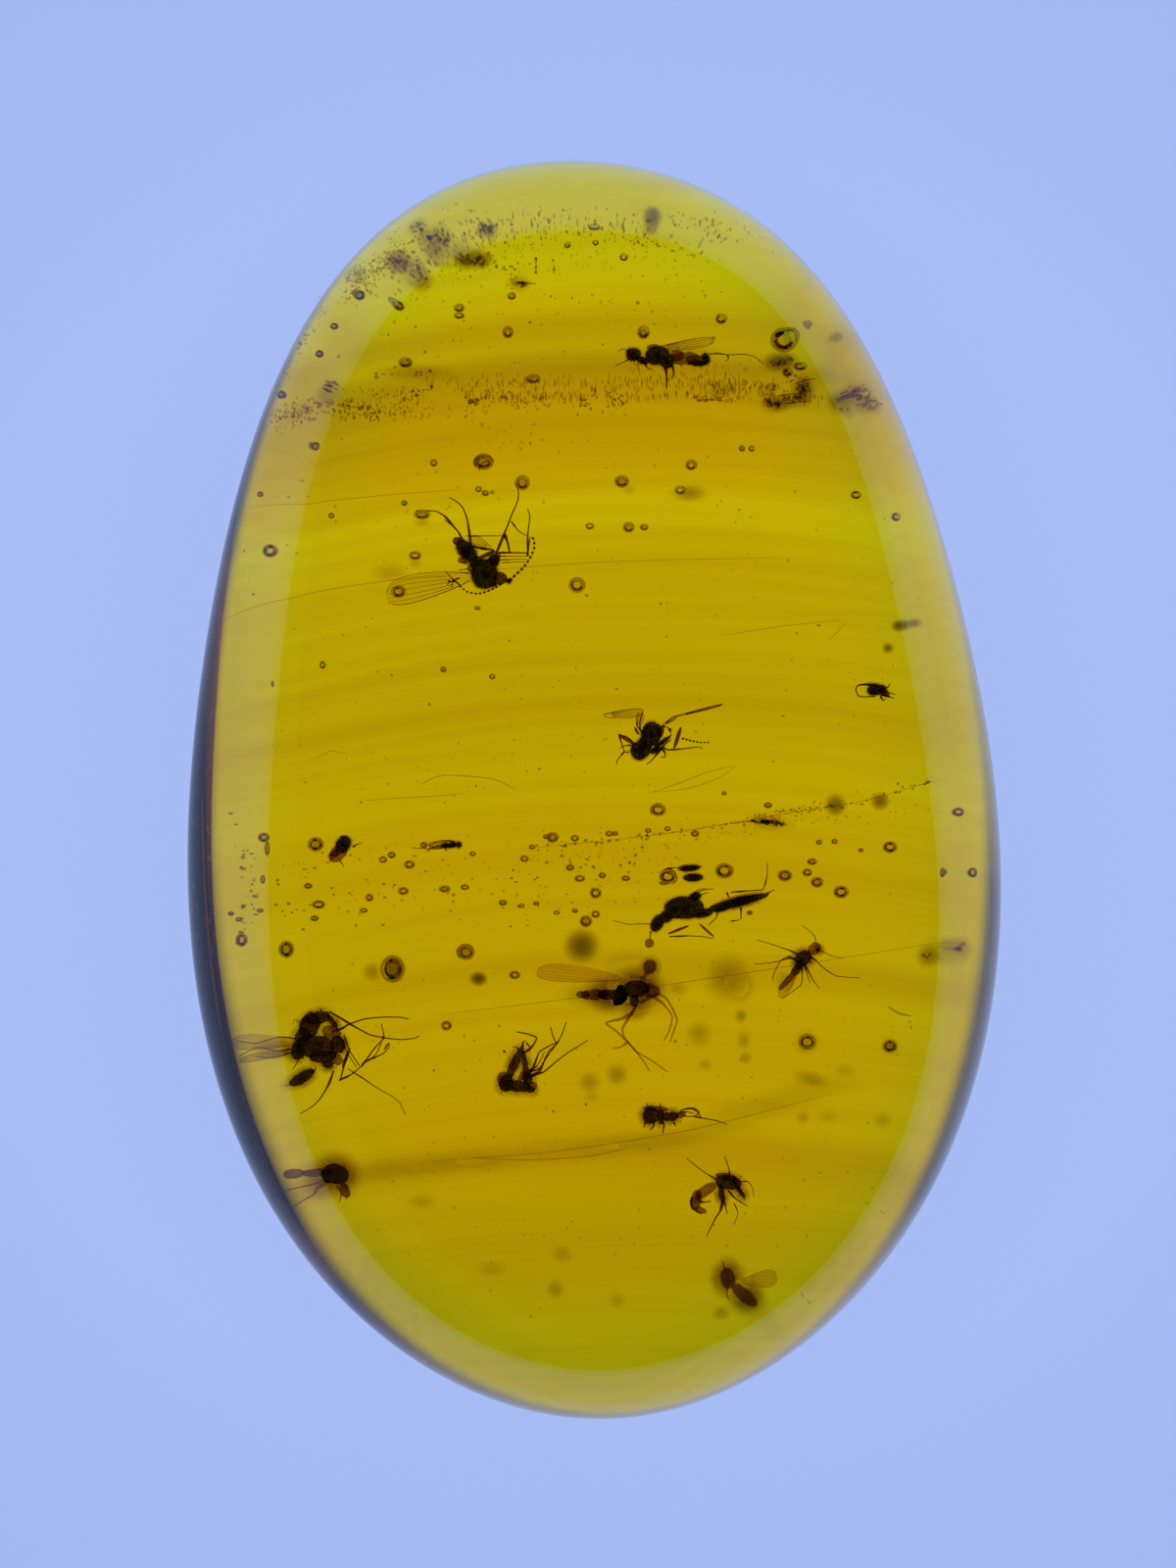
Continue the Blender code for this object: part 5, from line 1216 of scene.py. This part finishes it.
        ([(-703, 915), (-545, 934), (-424, 942), (-112, 960)], 22, 5.5, 7, 160),
        ([(81, 1059), (226, 1034), (418, 1055)], 25, 3.5, 15, 60),
        ([(322, 996), (394, 999), (442, 992)], 20, 5.5, 12.5, 60),
        ([(-328, 937), (-256, 887), (-184, 838), (-141, 897)], 35, 5, 5, 50),
        ([(-761, 977), (-736, 1052), (-686, 1112), (-643, 1197)], 25, 6.5, 6.5, 50),
        ([(-158, -178), (224, -135), (464, -99), (833, -53)], 22, 5, 4, 120),
        ([(-451, 1233), (-209, 1231), (33, 1231), (275, 1232)], 150, 5.5, 6.5, 60),
        ([(-725, 1149), (-450, 1134), (-112, 1157), (226, 1157)], 125, 5.5, 6.5, 60),
        ([(-837, 791), (-447, 742), (33, 789), (680, 736)], 150, 5.5, 5.5, 60),
        ([(-835, 82), (-373, 10), (33, 59), (779, 83)], 150, 5, 5, 80),
        ([(-857, -233), (-446, -232), (-15, -231), (224, -183)], 110, 5, 5, 150),
        ([(-688, -621), (-134, -667), (369, -619), (851, -573)], 299, 5.5, 5.5, 90),
        ([(-593, -1082), (-135, -1153), (370, -1081), (684, -1020)], 324, 5.5, 5.5, 110),
        ([(-770, 449), (-254, 400), (224, 399), (772, 394)], 374, 4.5, 4.5, 120)],
    "threads": [
        (4, [(-433, 3), (-373, 27), (-254, 18), (-194, -9)]),
        (3, [(-578, -38), (-493, -31), (-397, -26), (-325, -19)]),
        (3.5, [(128, -19), (200, 5), (272, 34), (344, 51)]),
        (3, [(133, -16), (224, -7), (296, 17), (344, 49)]),
        (2.5, [(-985, 352), (-737, 475), (-446, 522), (-15, 557), (464, 571)]),
        (2.5, [(-808, 688), (-665, 714), (-495, 730), (-327, 741)]),
        (3, [(-423, -935), (-111, -910), (225, -857), (586, -766)]),
        (3, [(-398, -571), (-15, -522), (465, -450), (852, -391)]),
        (3.5, [(-158, -154), (33, -135), (224, -111), (464, -70), (657, -39), (828, 10)]),
        (2.5, [(-687, 69), (-651, 88), (-614, 79)]),
        (2.5, [(307, 375), (463, 400), (609, 415)]),
        (2.5, [(572, 363), (597, 388), (614, 410)]),
        (8, [(266, 963), (283, 967), (305, 965)]),
        (5.5, [(300, 966), (321, 962), (338, 959)]),
        (3.5, [(-303, -925), (-159, -930), (-15, -920), (81, -900)])],
    "arcs": [
        (5.5, [(720, -550), (748, -567), (779, -574)]),
        (8.5, [(-296, 795), (-299, 812), (-285, 824), (-265, 824), (-251, 811)]),
        (6, [(-289, 787), (-282, 804), (-268, 812), (-256, 802)]),
        (8, [(-336, -428), (-341, -411), (-328, -396), (-309, -396), (-300, -408)]),
        (7, [(136, -72), (136, -55), (150, -45), (167, -53)]),
        (6, [(450, 1132), (465, 1142), (487, 1140)])]}

body, hollows = stoneSkin(), bubbleSkin()
# painted shade on the stone's own points; none in the bubbles' hollows
paintedShade = np.concatenate([paintedRimShade(body[0]), np.zeros(len(hollows[0]))])
putPiece("amber", [(joined([body, hollows]), amberMaterial())], ["upper_amber", "lower_amber"],
         ("paintedRim", paintedShade))
print("amber stands with", len(marks["clear"]), "bubbles")

for plan in animals:
    putInsect(plan)
print(len(animals), "insects and crumbs are in place")

# the bold dust and the arcs, with the bubbles' rings, which are painted shade
boldDustAndBubbleShade = joined([dustSkin("bold", 11), bubbleShadeRings(), threadSkin("arcs")])
fineDust = joined([dustSkin("fine", 12), bubbleFilms()])
putPiece("dust", [(boldDustAndBubbleShade, paints["brown dirt and painted bubble shade"]), (fineDust, paints["fine brown dirt and painted bubble shade"]),
                  (threadSkin("threads"), paints["flow line"])])
putPiece("haze", [(hazeSkin(), hazeMaterial("brown haze", haze["density"], haze["colour"]))])
print("dust, streaks and haze are strewn")


def stagePiece(name, points, faces, material):
    # a mesh that belongs to the scene, not to the stone
    mesh = bpy.data.meshes.new(name)
    mesh.from_pydata((np.asarray(points) * mm).tolist(), [], faces)
    mesh.materials.append(material)
    thing = bpy.data.objects.new(name, mesh)
    bpy.context.scene.collection.objects.link(thing)
    return thing


def glowMaterial(name, colour):
    # a matt finish that shines by itself
    return newMaterial(name, **{"Base Color": (*colour, 1), "Roughness": 1.0, "Specular IOR Level": 0.0,
                                "Emission Strength": panel["strength"]})


def putFloor():
    # pale glowing panel that the stone lies on; its glow fades with the distance from the middle
    material, tree, shader = glowMaterial("glowing panel", panel["colour"])
    place = addNode(tree, "ShaderNodeTexCoord").outputs["Object"]
    far = addNode(tree, "ShaderNodeVectorMath", [(place, 0)], operation="LENGTH").outputs["Value"]
    glow = rampOf(tree, mathOf(tree, "MULTIPLY", far, 1 / (panel["reach"] * mm)), panel["glow"])
    tree.links.new(glow, shader.inputs["Emission Color"])
    half, down = panel["size"] / 2, -panel["drop"]
    corners = [(-half, -half, down), (half, -half, down), (half, half, down), (-half, half, down)]
    stagePiece("floor", corners, [(0, 1, 2, 3)], material)


def putPaintedLightUnderStone():
    # painted light: a glowing sheet hidden under the stone lights it from below, warmer and brighter by its
    # share of the way in from the edge
    material, tree, shader = glowMaterial("painted light under the stone", (0, 0, 0))
    share = addNode(tree, "ShaderNodeAttribute", attribute_name="share").outputs["Fac"]
    tree.links.new(rampOf(tree, share, panel["under"]), shader.inputs["Emission Color"])
    around, edge, core = panel["around"], panel["edge"], stone["core"]
    angle = circle(around)[None, :]
    inset = np.linspace(edge, core, panel["edgeRows"])[:, None]
    shrink = np.linspace(1, panel["hub"], panel["hubRows"] + 1)[1:, None, None]
    flat = np.concatenate([outlineAt(angle, inset + 0 * angle),
                           outlineAt(angle, core + 0 * angle) * shrink])
    level = np.full(flat.shape[:2] + (1,), -panel["drop"] / 2)
    points = np.concatenate([flat, level], -1).reshape(-1, 3)
    faces = bandQuads(len(flat), around).tolist()
    faces.append(list(range(len(points) - around, len(points))))
    glowing = stagePiece("painted_light_under_stone", points, faces, material)
    depth = np.concatenate([inset[:, 0], np.full(panel["hubRows"], core)]) - edge
    value = np.repeat(depth / (core - edge), around).astype(np.float32)
    glowing.data.attributes.new("share", "FLOAT", "POINT").data.foreach_set("value", value)


def setLight():
    # a dark room above with a pale band low down all round
    world = bpy.data.worlds.new("room")
    bpy.context.scene.world = world
    world.use_nodes = True
    tree = world.node_tree
    place = addNode(tree, "ShaderNodeTexCoord").outputs["Generated"]
    split = addNode(tree, "ShaderNodeSeparateXYZ", [(place, 0)])
    sky = rampOf(tree, split.outputs["Z"], room["sky"])
    tree.links.new(sky, tree.nodes["Background"].inputs["Color"])
    bpy.context.scene.view_settings.view_transform = "Standard"


def setCamera():
    # straight down; the lens takes in the frame's height at the stone's middle
    camera = bpy.data.cameras.new("camera")
    camera.sensor_fit = "VERTICAL"
    camera.sensor_height = view["sensor"]
    camera.clip_start = view["nearest"] * mm
    camera.lens = view["sensor"] * view["distance"] / view["frameHeight"]
    holder = bpy.data.objects.new("camera", camera)
    holder.location = (view["x"] * mm, view["y"] * mm, (view["distance"] + view["level"]) * mm)
    bpy.context.scene.collection.objects.link(holder)
    bpy.context.scene.camera = holder


dusk = (0.27, 0.4, 1.0)
pale = (0.33, 0.51, 1.2)
soft = (0.41, 0.61, 1.02)
dim = (0.43, 0.61, 0.45)
night = (0.004, 0.004, 0.006)
panel = {
    "size": 4000.0, "drop": 0.02, "strength": 1.0, "colour": (0.05, 0.06, 0.1),
    # the glow by the share of the reach from the middle
    "reach": 100.0,
    "glow": [(0.17, (0.374, 0.484, 0.858)), (0.26, (0.35, 0.458, 0.818)), (0.45, (0.31, 0.41, 0.77)),
             (0.9, dusk)],
    # the painted light under the stone by the share of the way in from the edge to the stone's core
    "edge": 0.3, "around": 120, "edgeRows": 18, "hubRows": 7, "hub": 0.05,
    "under": [(0.0, (0.36, 0.505, 0.92)), (0.2, (0.375, 0.53, 0.9)), (0.33, (0.475, 0.6, 0.85)),
              (0.5, (0.56, 0.635, 0.72)), (0.9, (0.62, 0.633, 0.25))],
}
room = {"sky": [(0.0, dusk), (0.3, pale), (0.7, soft), (0.845, dim), (0.86, night)]}
view = {
    "distance": 120.0, "frameHeight": 39.872, "level": 2.6, "x": -0.193, "y": 0.082,
    "sensor": 36.0, "nearest": 1.0,
}

putFloor()
putPaintedLightUnderStone()
setLight()
setCamera()
print("floor, light and camera stand")
